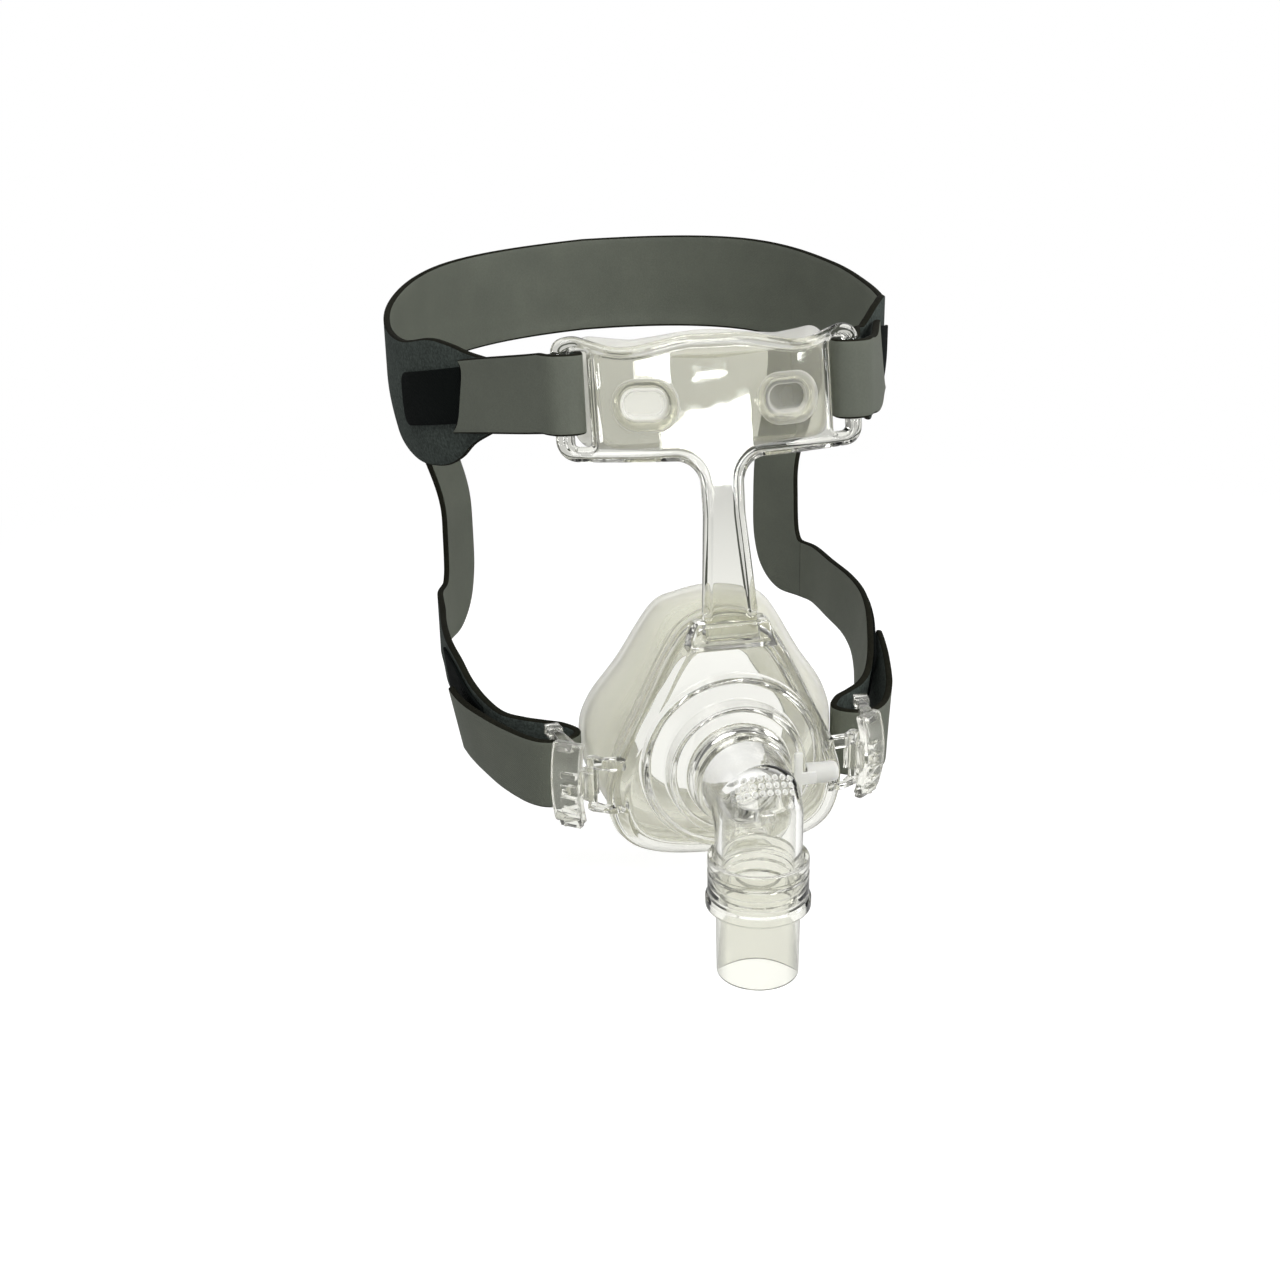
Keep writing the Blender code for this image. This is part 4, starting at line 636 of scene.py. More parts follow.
HALF_PLATE = np.array([  # x, z, corner radius
    (0.0071, 0.0356, 0.0008), (0.0071, 0.0420, 0.02), (0.0052, 0.0680, 0.02), (0.0054, 0.0826, 0.0110),
    (0.0416, 0.0826, 0.0045), (0.0416, 0.1119, 0.0042), (0.0366, 0.1135, 0.0060), (0.0251, 0.1098, 0.0200),
    (0.0080, 0.1133, 0.0300),
])
whole = np.vstack([HALF_PLATE, HALF_PLATE[::-1] * (-1, 1, 1)])
edge = spaced(rounded(whole[:, :2], whole[:, 2], 12), 0.0007)
edge = inward(edge, -0.0006 * np.clip((edge[:, 1] - FOOT_TOP) / 0.0016, 0, 1))
slots, plug_holes = [], []
for side in (-1, 1):
    x0, x1 = sorted((side * 0.0330, side * 0.0374))
    slots.append(spaced(rounded(rectangle(x0, x1, 0.0856, 0.1100), [0.0011] * 4, 6), 0.0005))
    hole = rectangle(side * PLUG_X - PLUG_HALF_WIDTH, side * PLUG_X + PLUG_HALF_WIDTH,
                     PLUG_Z - PLUG_HALF_HEIGHT, PLUG_Z + PLUG_HALF_HEIGHT)
    plug_holes.append(spaced(rounded(hole, [0.00455] * 4, 10), 0.0006))
openings = slots + plug_holes


def plate_distances(points):
    """Distances from points to the plate's edge, to its nearest slot and to its nearest plug hole."""
    return distance_to(points, edge), nearest(points, slots), nearest(points, plug_holes)


def in_plate(points):
    """True where a point is inside the plate's edge and in none of its openings."""
    return within(points, edge) & ~np.any([within(points, loop) for loop in openings], 0)


# The plate's net of points follows its edges closely, where the beads are, and is a plain grid elsewhere.
loops = [edge, *openings]
extra = [inward(edge, d) for d in (0.0002, 0.0005, 0.0009, 0.0013, 0.0017, 0.0021, 0.0025, 0.0029, 0.0036)]
extra += [inward(loop, -d) for loop in slots for d in (0.0002, 0.0005, 0.0009, 0.0014)]
extra += [inward(loop, -d) for loop in plug_holes for d in (0.0002, 0.0005)]
followed = sum(map(len, extra))
across, upward = np.meshgrid(np.arange(-0.042, 0.0421, NET_STEP), np.arange(0.036, 0.1141, NET_STEP))
extra = np.vstack([*extra, np.column_stack([across.ravel(), upward.ravel()])])
from_edge, from_slots, from_holes = plate_distances(extra)
keep = in_plate(extra) & (np.minimum(np.minimum(from_edge, from_slots), from_holes) > NET_MARGIN)
keep &= (np.arange(len(extra)) < followed) | (
    (from_edge > 0.0040) & (from_slots > 0.0018) & (from_holes > 0.0009))
plan_points = np.vstack([*loops, extra[keep]])
starts = np.cumsum([0] + [len(loop) for loop in loops])
rim_edges = np.vstack([np.column_stack([s + np.arange(n), s + (np.arange(n) + 1) % n])
                       for s, n in zip(starts, map(len, loops))])
flat_net = geometry.delaunay_2d_cdt(plan_points.tolist(), rim_edges.tolist(), [], 0, 1e-7)
net_points, net_faces = np.array([tuple(p) for p in flat_net[0]]), np.array(flat_net[2])
net_faces = net_faces[in_plate(net_points[net_faces].mean(1))]

# Front and back are offsets from the curved plate: a round bead along the edge that fades out at the
# foot, a low rim round each slot, and eased corners.
to_edge, to_slots, to_holes = plate_distances(net_points)
lift = eased(net_points[:, 1], FOOT_TOP, 0.0020)
bead = np.sqrt(np.maximum(BEAD**2 - (to_edge - BEAD) ** 2, 0)) - 0.3 * BEAD
bead = np.where(to_edge < BEAD, bead, 0.5 * (bead + np.sqrt(bead**2 + 0.0002**2)))
rim = 0.0007 * swell(to_slots, 0.0008, 0.00045) - 0.0006 * swell(to_slots, 0, 0.00025)
front_off = (-bead * lift + (1 - lift) * 0.0003 * swell(to_edge, 0, 0.0003) - rim
             + 0.0003 * swell(to_holes, 0, 0.0003))
round_back = 1 - np.sqrt(np.clip(1 - np.clip(1 - to_edge / 0.0012, 0, 1) ** 2, 0, 1))
back_off = PLATE_T - 0.0021 * round_back * lift - 0.0004 * swell(to_slots, 0, 0.0003)
base_depth = plate_depth(net_points[:, 0], net_points[:, 1]) - SEAL_DEPTH
both_faces = [np.column_stack([net_points[:, 0], base_depth + off, net_points[:, 1]])
              for off in (front_off, back_off)]
count = len(net_points)
pairs = np.sort(np.concatenate([net_faces[:, [0, 1]], net_faces[:, [1, 2]], net_faces[:, [2, 0]]]), 1)
single, times = np.unique(pairs, axis=0, return_counts=True)
border = single[times == 1]
side_walls = np.column_stack([border, border[:, ::-1] + count])
support_faces = net_faces.tolist() + (net_faces[:, ::-1] + count).tolist() + side_walls.tolist()
support = piece("forehead_support_clear", np.vstack(both_faces), support_faces, thick_clear, 55.0)
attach(support, "mask")
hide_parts("forehead_support")

# Forehead pad. A soft clear silicone pad behind the plate, with a thin flared lip to the forehead, held by
# two hollow oval plugs pulled through the plate.
PAD_T = 0.0018
PAD_CENTRE = (0.0, 0.09775)
PAD_LIP = (  # reach past the outline, offset behind the pad's front
    (-0.0002, 0.0001), (0.0, 0.0005), (0.0006, 0.0020), (0.0020, 0.0045), (0.0038, 0.0072), (0.0047, 0.0088),
    (0.0045, 0.0091), (0.0037, 0.0088), (0.0026, 0.0070), (0.0008, 0.0045), (-0.0006, 0.0026), (-0.0016, 0.0018),
)
PLUG_RINGS = (  # height, offset from the plate's front
    (0.0086, 0.0034), (0.0086, 0.0), (0.0086, -0.00032), (0.0124, -0.0004), (0.0134, -0.0008), (0.0136, -0.0013),
    (0.0128, -0.0018), (0.0112, -0.0021), (0.0090, -0.0021), (0.0078, -0.0019), (0.0070, -0.0012), (0.0066, 0.0),
    (0.0064, 0.0008), (0.0050, 0.0011),
)
pad_outline = spaced(rounded([(-0.0315, 0.0850), (0.0315, 0.0850), (0.0315, 0.1110), (0.016, 0.1085),
                              (-0.016, 0.1085), (-0.0315, 0.1110)], [0.005, 0.005, 0.005, 0.02, 0.02, 0.005], 8),
                     0.0008)
from_centre = pad_outline - PAD_CENTRE
outward = from_centre / np.hypot(*from_centre.T)[:, None]


def behind_plate(loop, off):
    """Ring of plan points (x, z) at an offset from the plate's front."""
    return np.column_stack([loop[:, 0], plate_depth(*loop.T) + off - SEAL_DEPTH, loop[:, 1]])


def plug_ring(centre_x, height, off):
    """Ring of 64 points: an oval with round ends, 4 mm longer than high, about a plug's centre."""
    r, reach = height / 2, (height + 0.0040) / 2
    box = rectangle(centre_x - reach, centre_x + reach, PLUG_Z - r, PLUG_Z + r)
    loop = spaced(rounded(box, [r * 0.98] * 4, 10), 0.0006)
    picked = np.round(np.linspace(0, len(loop), 64, endpoint=False)).astype(int) % len(loop)
    return behind_plate(loop[picked], off)


pad_front = PLATE_T + CLEARANCE
pad_rows = [behind_plate(from_centre * s + PAD_CENTRE, pad_front) for s in (0.02, 0.3, 0.6, 0.85, 0.96)]
pad_rows += [behind_plate(pad_outline + outward * reach, pad_front + back) for reach, back in PAD_LIP]
pad_rows += [behind_plate(from_centre * s + PAD_CENTRE, pad_front + PAD_T) for s in (0.93, 0.85, 0.6, 0.3, 0.02)]
pad = capped("pad_body", pad_rows, None, 60.0)
plugs = [capped("plug", [plug_ring(side * PLUG_X, height, off) for height, off in PLUG_RINGS], None, 60.0)
         for side in (-1, 1)]
pad = moulded("forehead_pad_silicone", pad, plugs, [], soft_clear, 60.0)
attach(pad, "mask")
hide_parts("forehead_pad")

# Strap clips. Clear bowed finger plates that hook on the lugs' bars, with ribs for grip, and with two arms
# that run back to the upright bar which the lower strap goes round.
STRAP_WIDTH = 0.0198
STRAP_Z = -0.0084
strap_top, strap_bottom = STRAP_Z + STRAP_WIDTH / 2 + CLEARANCE, STRAP_Z - STRAP_WIDTH / 2 - CLEARANCE
clip_top, clip_bottom = strap_top + 0.0032, strap_bottom - 0.0020
plate_low = clip_bottom + 0.0018
BOW = 0.0020
NEAR, FAR = 0.0027, 0.0116  # reach of the finger plate from the lug's bar
body_angle, bar_angle = math.radians(52), math.radians(25)
hook_low, hook_high = -0.0101, -0.0017
window_z = (hook_low + hook_high) / 2 - 0.0022
SET_IN = 0.0002  # keeps the faces of joined solids apart


def finger_slice(name, lug, reaches, offsets, heights, bevel=0.0, segments=3):
    """Slice of the finger plate between two reaches and two offsets, bowed outwards at mid height.

    lug is the bar's place, the direction along the plate, and the direction out of it. The bow is
    largest at half the plate's height and falls with the square of the distance from there.
    """
    heights = np.asarray(heights, float)[:, None]
    share = 2 * (heights - plate_low) / (clip_top - plate_low) - 1
    reach, off = np.array(rectangle(*reaches, *offsets)).T
    plan = lug[0] + lug[1] * reach[:, None] + lug[2] * (off + BOW * (1 - share * share))[..., None]
    rows = np.stack([plan[..., 0], plan[..., 1] - SEAL_DEPTH, np.broadcast_to(heights, plan.shape[:2])], -1)
    made = capped(name, rows)
    return bevelled(made, bevel, segments, 40.0) if bevel else made


# Small thick mouldings with a rippled skin: milkier than the shell, with bright broken highlights.
clip_clear = polycarbonate("moulded_clip_polycarbonate", "#EFEFE8", "#8C8C84", 0.03, 0.2, 0.92)
for word, side in (("right", -1), ("left", 1)):
    pivot = np.array([side * LUG_X, LUG_DEPTH])
    strap_bar = pivot + 0.0188 * np.array([side * math.sin(bar_angle), math.cos(bar_angle)])
    along = np.array([side * math.sin(body_angle), math.cos(body_angle)])
    out_of = np.array([side * math.cos(body_angle), -math.sin(body_angle)])
    lug = (pivot, along, out_of)
    body = finger_slice("clip", lug, (NEAR, FAR), (-0.0015, 0.0015),
                        np.linspace(plate_low, clip_top, 17), 0.0006)
    added = [finger_slice("foot", lug, (NEAR + 0.0012, FAR - 0.0012), (-0.0012, 0.0012),
                          (clip_bottom, plate_low + 0.001), 0.0004)]

    middle = pivot + along * (NEAR + FAR) / 2
    back = (strap_bar - middle) / np.hypot(*(strap_bar - middle))
    across = np.array([back[1], -back[0]])
    arm_end = strap_bar + back * 0.0009
    arm = [middle - across * 0.0021, middle + across * 0.0021,
           arm_end + across * 0.0010, arm_end - across * 0.0010]
    for low, high in ((clip_bottom + SET_IN, strap_bottom), (strap_top, clip_top - SET_IN)):
        added.append(prism("arm", arm, low, high, 0.0004))
    bar = [strap_bar + back * a * 0.0012 + across * b * 0.0012 for a, b in rectangle(-1, 1, -1, 1)]
    added.append(prism("bar", bar, clip_bottom + 0.0004, clip_top - 0.0004, 0.0004))

    arc = np.radians(np.linspace(-100, 125, 40))[:, None]
    unit = along * np.cos(arc) + out_of * np.sin(arc)
    added.append(prism("hook", np.vstack([pivot + 0.0030 * unit, pivot + 0.0016 * unit[::-1]]),
                       hook_low, hook_high, 0.0002, 2))
    neck = [pivot + along * u + out_of * t
            for u, t in ((0.0021, -0.0008), (0.0039, -0.0008), (0.0039, 0.0032), (0.0021, 0.0016))]
    added.append(prism("neck", neck, hook_low + SET_IN, hook_high - SET_IN))
    grip = [strap_bar + back * a * 0.0024 + across * b * 0.0022 for a, b in rectangle(-1, 1, -1, 1)]
    added.append(prism("grip", grip, strap_top + SET_IN, clip_top + 0.0001, 0.0005))
    for z in np.linspace(plate_low + 0.0016, plate_low + (clip_top - plate_low) * 0.66, 5):
        added.append(finger_slice("rib", lug, (NEAR + 0.0002, NEAR + 0.0050), (0.0011, 0.0030),
                                  (z - 0.0009, z + 0.0009), 0.0003, 2))
    window = finger_slice("window", lug, ((NEAR + FAR) / 2 - 0.0013, (NEAR + FAR) / 2 + 0.0013),
                          (-0.006, 0.006), (window_z - 0.0013, window_z + 0.0013))
    clip = moulded(f"strap_clip_{word}_clear", body, added, [window], clip_clear)
    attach(clip, f"clip_{word}")
    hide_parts(f"strap_clip_{word}")

# Headgear. One die-cut sheet of laminate, 2 mm thick: grey knitted skin, a foam core, and brushed loop on
# the outside. The back band carries an arm down behind each ear, and its two front ends go
# through the plate's slots and fold back on themselves.
LAMINATE = 0.0020
UPPER_EDGES = (  # degrees from the back, top z, bottom z
    (0, 0.1160, 0.0840), (45, 0.1145, 0.0830), (75, 0.1090, 0.0780), (92, 0.1055, 0.0725),
    (107, 0.1045, 0.0690), (119, 0.1072, 0.0705), (126, 0.1066, 0.0742), (131, 0.1050, 0.0795),
    (136, 0.1038, 0.0836),
)
LOWER_ARM = (  # rear angle and z, front angle and z
    (50.0, 0.0852, 79.5, 0.0790), (52.5, 0.0790, 75.0, 0.0762), (53.5, 0.0720, 73.0, 0.0700),
    (52.5, 0.0580, 69.5, 0.0570), (50.5, 0.0420, 66.5, 0.0420), (50.0, 0.0260, 66.5, 0.0290),
    (50.5, 0.0120, 67.0, 0.0195), (53.5, 0.0010, 68.0, 0.0155), (60.0, -0.0055, 69.0, 0.0142),
    (70.0, -0.0060, 70.0, 0.0140),
)
NECK_OVAL = (0.0675, 0.0680, 0.119)  # half width, half length, depth of the middle
HEAD_GROWTH = (0.0097, 0.0230, 0.007)  # what the head's oval has more of each
WORN_RIGHT = 0.0027
WORN_CANT = 0.045  # rise with x, from the right side
FOLD_END = (math.radians(131.5), 0.094)  # angle and z of the upper arm's cut end
SLOT_MIDDLE_Z = 0.0995
FOLD_TILT, FOLD_LEAN = -0.12, 0.16


def head_point(angle, z, offset=0.0):
    """x, depth, z on the oval of head or neck at an angle from the back, pushed out by an offset.

    The neck's oval grows into the head's, eased from 35 to 90 mm of height.
    """
    share = eased(z, 0.035, 0.055)
    wide, long, middle = (neck + share * more for neck, more in zip(NECK_OVAL, HEAD_GROWTH))
    nx, nd = np.sin(angle) / wide, np.cos(angle) / long
    size = np.hypot(nx, nd)
    return np.stack([wide * np.sin(angle) + offset * nx / size,
                     middle + long * np.cos(angle) + offset * nd / size, z + 0 * angle], -1)


def settled(points):
    """World points of the headgear: behind the clips it sits 3 mm to the right, and higher on the left."""
    x, depth, z = points[..., 0], points[..., 1], points[..., 2]
    share = eased(depth, 0.036, 0.034)
    return np.stack([x - WORN_RIGHT * share, depth - SEAL_DEPTH, z + WORN_CANT * (x + 0.070) * share], -1)


def laminate_band(name, surface, thickness, materials):
    """Closed strap round a middle surface (path, width, 3), with its side materials and its cloth UV.

    The surface is pushed both ways along its own normals by half the thickness, and its two long edges
    are half rounds. materials are the inner side's, the outer side's and the cut edge's. The UV is
    metres along the strap and across it.
    """
    path, width = surface.shape[:2]
    along, across = np.gradient(surface, axis=0), np.gradient(surface, axis=1)
    normal = np.cross(along, across)
    normal /= np.linalg.norm(normal, axis=-1)[..., None]
    across /= np.linalg.norm(across, axis=-1)[..., None]
    half = thickness / 2
    bend = np.linspace(0, math.pi, 7)[1:-1, None]
    crown, side = 0.55 * half * np.sin(bend), half * np.cos(bend)
    far_edge = surface[:, -1:] + across[:, -1:] * crown + normal[:, -1:] * side
    near_edge = surface[:, :1] - across[:, :1] * crown - normal[:, :1] * side
    rings = np.concatenate([surface + normal * half, far_edge, (surface - normal * half)[:, ::-1], near_edge], 1)
    section = rings.shape[1]
    made = capped(name, rings, None, 80.0)
    mesh = made.data
    for material in materials:
        mesh.materials.append(material)

    run = np.concatenate([[0], np.cumsum(np.linalg.norm(np.diff(surface[:, width // 2], axis=0), axis=1))])
    high = np.concatenate([[0], np.cumsum(np.linalg.norm(np.diff(surface[path // 2], axis=0), axis=1))])
    rise = 0.0002 * np.arange(1, 6)
    v = np.concatenate([high, high[-1] + rise, high[::-1] + 0.05, -rise])
    corner = np.empty(len(mesh.loops), int)
    mesh.loops.foreach_get("vertex_index", corner)
    row, column = corner // section, corner % section
    layer = mesh.uv_layers.new(name="cloth")
    layer.data.foreach_set("uv", np.column_stack([run[row], v[column]]).ravel())
    side_of = np.full(section, 2)
    side_of[:width] = 1
    side_of[width + 5:2 * width + 5] = 0
    first, total = np.empty(len(mesh.polygons), int), np.empty(len(mesh.polygons), int)
    mesh.polygons.foreach_get("loop_start", first)
    mesh.polygons.foreach_get("loop_total", total)
    highest, lowest = (part.reduceat(side_of[column], first) for part in (np.maximum, np.minimum))
    mesh.polygons.foreach_set("material_index",
                              np.where((highest != lowest) | (total > 4), 2, highest).astype(int))
    return made


def cloth(name, light, dark, roughness, gloss, sheen, weave, fuzz, relief_depth):
    """Laminate face: colour varies gently, with a knit at its real spacing or a brushed pile.

    weave is in millimetres, 0 for none, and the knit's slanting bands are 0.44 of it apart. fuzz is how
    far the pile varies. The fine noise is 0.7 mm across and the tufts 0.9 mm, coarser than real
    loops so that they show.
    """
    made, tree, out = new_material(name)
    uv = add(tree, "ShaderNodeUVMap", uv_map="cloth")
    place = {"Vector": add(tree, "ShaderNodeTexCoord").outputs["Object"]}
    broad = add(tree, "ShaderNodeTexNoise", {"Scale": 60.0, "Detail": 3.0}, place)
    fine = add(tree, "ShaderNodeTexNoise", {"Scale": 1500.0, "Detail": 3.0, "Roughness": 0.7}, place)
    tuft = add(tree, "ShaderNodeTexNoise", {"Scale": 1100.0, "Detail": 3.0, "Roughness": 0.7}, place)
    tone = add(tree, "ShaderNodeMix", {"Factor": 0.5, "A": linear(dark), "B": linear(light)},
               {"Factor": broad.outputs["Fac"]}, data_type="RGBA")
    speck = ramp(tree, (tuft if fuzz > 0.2 else fine).outputs["Fac"], 0.35, 0.65, 1.0 - fuzz, 1.0 + fuzz)
    shade = add(tree, "ShaderNodeVectorMath", (), {0: tone.outputs["Result"], "Scale": speck},
                operation="SCALE")
    height = fine.outputs["Fac"]
    if weave:
        grow = add(tree, "ShaderNodeVectorMath", {1: (1000.0 / weave, 1000.0 / weave, 1.0)},
                   {0: uv.outputs["UV"]}, operation="MULTIPLY")
        stitch = add(tree, "ShaderNodeTexWave", {"Scale": 1.0, "Distortion": 1.5, "Detail": 1.0},
                     {"Vector": grow.outputs[0]}, bands_direction="DIAGONAL")
        height = computed(tree, "ADD", stitch.outputs["Fac"], height)
    relief = add(tree, "ShaderNodeBump", {"Strength": 0.5, "Distance": relief_depth}, {"Height": height})
    face = add(tree, "ShaderNodeBsdfPrincipled", {
        "Roughness": roughness, "IOR": 1.45, "Sheen Weight": sheen, "Sheen Roughness": 0.5,
        "Sheen Tint": linear(light), "Specular IOR Level": gloss,
    }, {"Base Color": shade.outputs[0], "Normal": relief.outputs["Normal"]})
    tree.links.new(face.outputs[0], out.inputs["Surface"])
    return made


# The knit is an even olive grey with a soft sheen, the brushed loops are darker and speckled because light
# is lost between them, and the foam shows as a nearly black line along every cut edge.
skin = cloth("knitted_nylon_skin", "#686C61", "#565A51", 0.62, 0.3, 0.35, 0.9, 0.05, 0.00012)
loop_pile = cloth("brushed_loop_pile", "#474E4A", "#353B38", 0.95, 0.15, 0.25, 0, 0.40, 0.0005)
foam_edge = cloth("cut_foam_edge", "#23231B", "#14140E", 0.9, 0.1, 0.0, 0, 0.25, 0.0002)
cloth_faces = (skin, loop_pile, foam_edge)

# One side's middle surface, from the back of the head to the plate's slot and back along itself.
fine_edges = curve_through(np.array(UPPER_EDGES), 12)
angles = np.concatenate([np.linspace(0, 100, 60, endpoint=False), np.linspace(100, 136, 34)])
tops, bottoms = (np.interp(angles, fine_edges[:, 0], fine_edges[:, column]) for column in (1, 2))
post_x, slot_x = 0.0395, 0.0352
post_front = plate_depth(post_x, PLUG_Z)
loop_back = post_front + PLATE_T + LAMINATE / 2 + CLEARANCE + 0.0004
loop_front = post_front - LAMINATE / 2 - BEAD * 0.7 - CLEARANCE - 0.0004
stack = LAMINATE + 2 * CLEARANCE + 0.0009
join = head_point(np.radians(angles[-1]), np.array([tops[-1], bottoms[-1]])).mean(0)
end = head_point(*np.array(FOLD_END), stack + 0.0002)
fold_plan = curve_through([
    join[:2], (post_x + 0.0075, loop_back + 0.0105), (post_x + 0.0025, loop_back + 0.0030),
    (slot_x + 0.0012, loop_back + 0.0002), (slot_x, loop_back - 0.0020), (slot_x, loop_front + 0.0018),
    (slot_x + 0.0012, loop_front + 0.0002), (post_x, loop_front - 0.0003), (post_x + 0.0038, loop_front + 0.0012),
    (post_x + 0.0080, loop_front + 0.0085), (post_x + 0.0145, loop_front + 0.0205), end[:2]], 9)
travel = np.concatenate([[0], np.cumsum(np.hypot(*np.diff(fold_plan, axis=0).T))])
fold = travel[np.argmin(fold_plan[:, 1])]
nearness = 1 - np.abs(travel - fold) / max(fold, travel[-1] - fold)
nearness = np.clip(nearness * 1.25, 0, 1)[1:, None]
mid_z = join[2] + (SLOT_MIDDLE_Z - join[2]) * nearness
tilt, lean = FOLD_TILT * (1 - nearness) * STRAP_WIDTH / 2, FOLD_LEAN * nearness
fold_edges = []
for up in (1, -1):
    edge_z = mid_z + up * STRAP_WIDTH / 2
    fold_edges.append(np.hstack([fold_plan[1:, :1] + up * tilt,
                                 fold_plan[1:, 1:] + lean * (edge_z - PLUG_Z), edge_z])[:, None])
share = np.linspace(0, 1, 18)[None, :]
band_part = head_point(np.radians(angles)[:, None], tops[:, None] * (1 - share) + bottoms[:, None] * share)
share = share[..., None]
side_part = np.concatenate([band_part, fold_edges[0] * (1 - share) + fold_edges[1] * share])
band_surface = settled(np.concatenate([side_part[:0:-1] * (-1, 1, 1), side_part]))

# The cut ends of the upper arms are drawn out a little at their corners.
ears = 0.0024 * np.abs(2 * share - 1) ** 6 * np.linspace(0, 1, 6)[:, None, None]
for tip in (band_surface, band_surface[::-1]):
    onward = tip[-1] - tip[-2]
    tip[-6:] += ears * onward / np.linalg.norm(onward, axis=-1)[:, None]
band = laminate_band("headgear_band", band_surface, LAMINATE, cloth_faces)
arms = []
rear_angle, rear_z, front_angle, front_z = np.split(curve_through(LOWER_ARM, 9), 4, axis=1)
cells = np.linspace(0, 1, 14)[None, :]
arm_side = head_point(np.radians(rear_angle + (front_angle - rear_angle) * cells),
                      rear_z + (front_z - rear_z) * cells)
for side in (-1, 1):
    arm_surface = settled(arm_side * (side, 1, 1))[:, ::-side]
    arms.append(laminate_band("headgear_arm", arm_surface, LAMINATE - 0.0001, cloth_faces))
with bpy.context.temp_override(active_object=band, selected_editable_objects=[band, *arms]):
    bpy.ops.object.join()
band.name = "headgear_laminate"
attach(band, "mask")
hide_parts("headgear")

# Lower straps. Cut from the same laminate: from the arm's end round the jaw, through the clip, and folded
# back outside. They bend where the clip turns. The hook tabs are black hook fastener, welded on the ends
# of all four straps and pressed on the loop pile.
TAB_T = 0.0009
TAB_CORNER = 0.0028
TAB_LENGTH = 0.0310
UPPER_TAB_WIDTH, LOWER_TAB_WIDTH = 0.0155, 0.0155
bar_x, bar_depth = 0.04555, 0.03384
strap_front = bar_depth - 0.0012 - CLEARANCE - LAMINATE / 2
seam = head_point(np.array(math.radians(70) + CLEARANCE / 0.068), np.array(0.004))
strap_points = np.array([  # x, depth, z, lean of the top edge
    (seam[0], seam[1], 0.004, 0.0), (0.0656, 0.1340, 0.0041, 0.0), (0.0660, 0.1180, 0.0040, 0.02),
    (0.0665, 0.1020, 0.0038, 0.06), (0.0655, 0.0880, 0.0030, 0.12), (0.0633, 0.0765, 0.0010, 0.16),
    (0.0611, 0.0685, -0.0025, 0.18), (0.0583, 0.0605, -0.0060, 0.16), (0.0550, 0.0543, STRAP_Z, 0.12),
    (0.0506, 0.0487, STRAP_Z, 0.06), (0.0460, 0.0452, STRAP_Z, 0.0), (0.0415, 0.0423, STRAP_Z, 0.0),
    (bar_x - 0.0071, bar_depth + 0.0037, STRAP_Z, 0.0), (bar_x - 0.0060, bar_depth - 0.0001, STRAP_Z, 0.0),
    (bar_x - 0.0022, strap_front, STRAP_Z, 0.0), (bar_x + 0.0020, strap_front, STRAP_Z, 0.0),
    (bar_x + 0.0054, strap_front + 0.0020, STRAP_Z, 0.0), (0.0548, 0.0386, STRAP_Z, 0.02),
    (0.0592, 0.0475, STRAP_Z + 0.0003, 0.08), (0.0628, 0.0590, STRAP_Z + 0.0008, 0.16),
    (0.0648, 0.0670, STRAP_Z + 0.0013, 0.18), (0.0662, 0.0740, STRAP_Z + 0.0018, 0.18),
])
strap_path = curve_through(strap_points, 8)


def ribbon_surface(path, width, side, steps):
    """Middle surface of a strap on its edge: (x, depth, z, lean) points, the top edge leaning outwards."""
    h = np.linspace(1, -1, steps)[None, :] * width / 2
    x = path[:, :1] + h * path[:, 3:4]
    return settled(np.stack([side * x, path[:, 1:2] + 0 * h, path[:, 2:3] + h], -1))


# Rows of tiny stiff nylon hooks, which swallow the light: dull and almost black.
hook = cloth("black_hook_fastener", "#151918", "#0D100F", 0.85, 0.05, 0.0, 1.4, 0.1, 0.0005)
tab_lift = LAMINATE / 2 + CLEARANCE + TAB_T / 2

# An upper tab lies on the head's oval, its corners cut round: each row across it is shorter by the arc.
reach = np.concatenate([TAB_CORNER * (1 - np.cos(np.linspace(0, math.pi / 2, 9))),
                        np.linspace(TAB_CORNER, TAB_LENGTH, 32)[1:]])
corner = TAB_CORNER - np.sqrt(np.maximum(TAB_CORNER**2 - np.maximum(TAB_CORNER - reach, 0)**2, 0))
share = (reach / reach[-1])[:, None]
half_high = UPPER_TAB_WIDTH / 2 - corner[:, None]
tab_z = 0.0879 + (0.0935 - 0.0879) * share + half_high * np.linspace(1, -1, 12)[None, :]
tab_side = head_point(np.radians(108 + 22 * share) + 0 * tab_z, tab_z, tab_lift)

# A lower tab follows the strap's run in towards the clip, on its outside.
run_in = strap_path[:np.argmin(strap_path[:, 1])]
run_in = run_in[(run_in[:, 1] > 0.0600) & (run_in[:, 1] < 0.0900)]
ahead = np.gradient(run_in[:, :2], axis=0)
ahead /= np.hypot(*ahead.T)[:, None]
normal = np.stack([ahead[:, 1], -ahead[:, 0]], 1)
run_in[:, :2] += normal * np.sign(normal[:, :1]) * tab_lift

for word, side in (("right", -1), ("left", 1)):
    surface = ribbon_surface(strap_path, STRAP_WIDTH, side, 16)[:, ::side]
    strap = laminate_band(f"lower_strap_{word}_laminate", surface, LAMINATE, cloth_faces)
    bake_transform(strap)
    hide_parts(f"lower_strap_{word}")

    tab = laminate_band(f"upper_hook_tab_{word}_black", settled(tab_side * (side, 1, 1)), TAB_T, (hook,) * 3)
    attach(tab, "mask")
    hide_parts(f"upper_hook_tab_{word}")

    low_tab = laminate_band(f"lower_hook_tab_{word}_black", ribbon_surface(run_in, LOWER_TAB_WIDTH, side, 12),
                            TAB_T, (hook,) * 3)
    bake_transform(low_tab)
    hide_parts(f"lower_hook_tab_{word}")

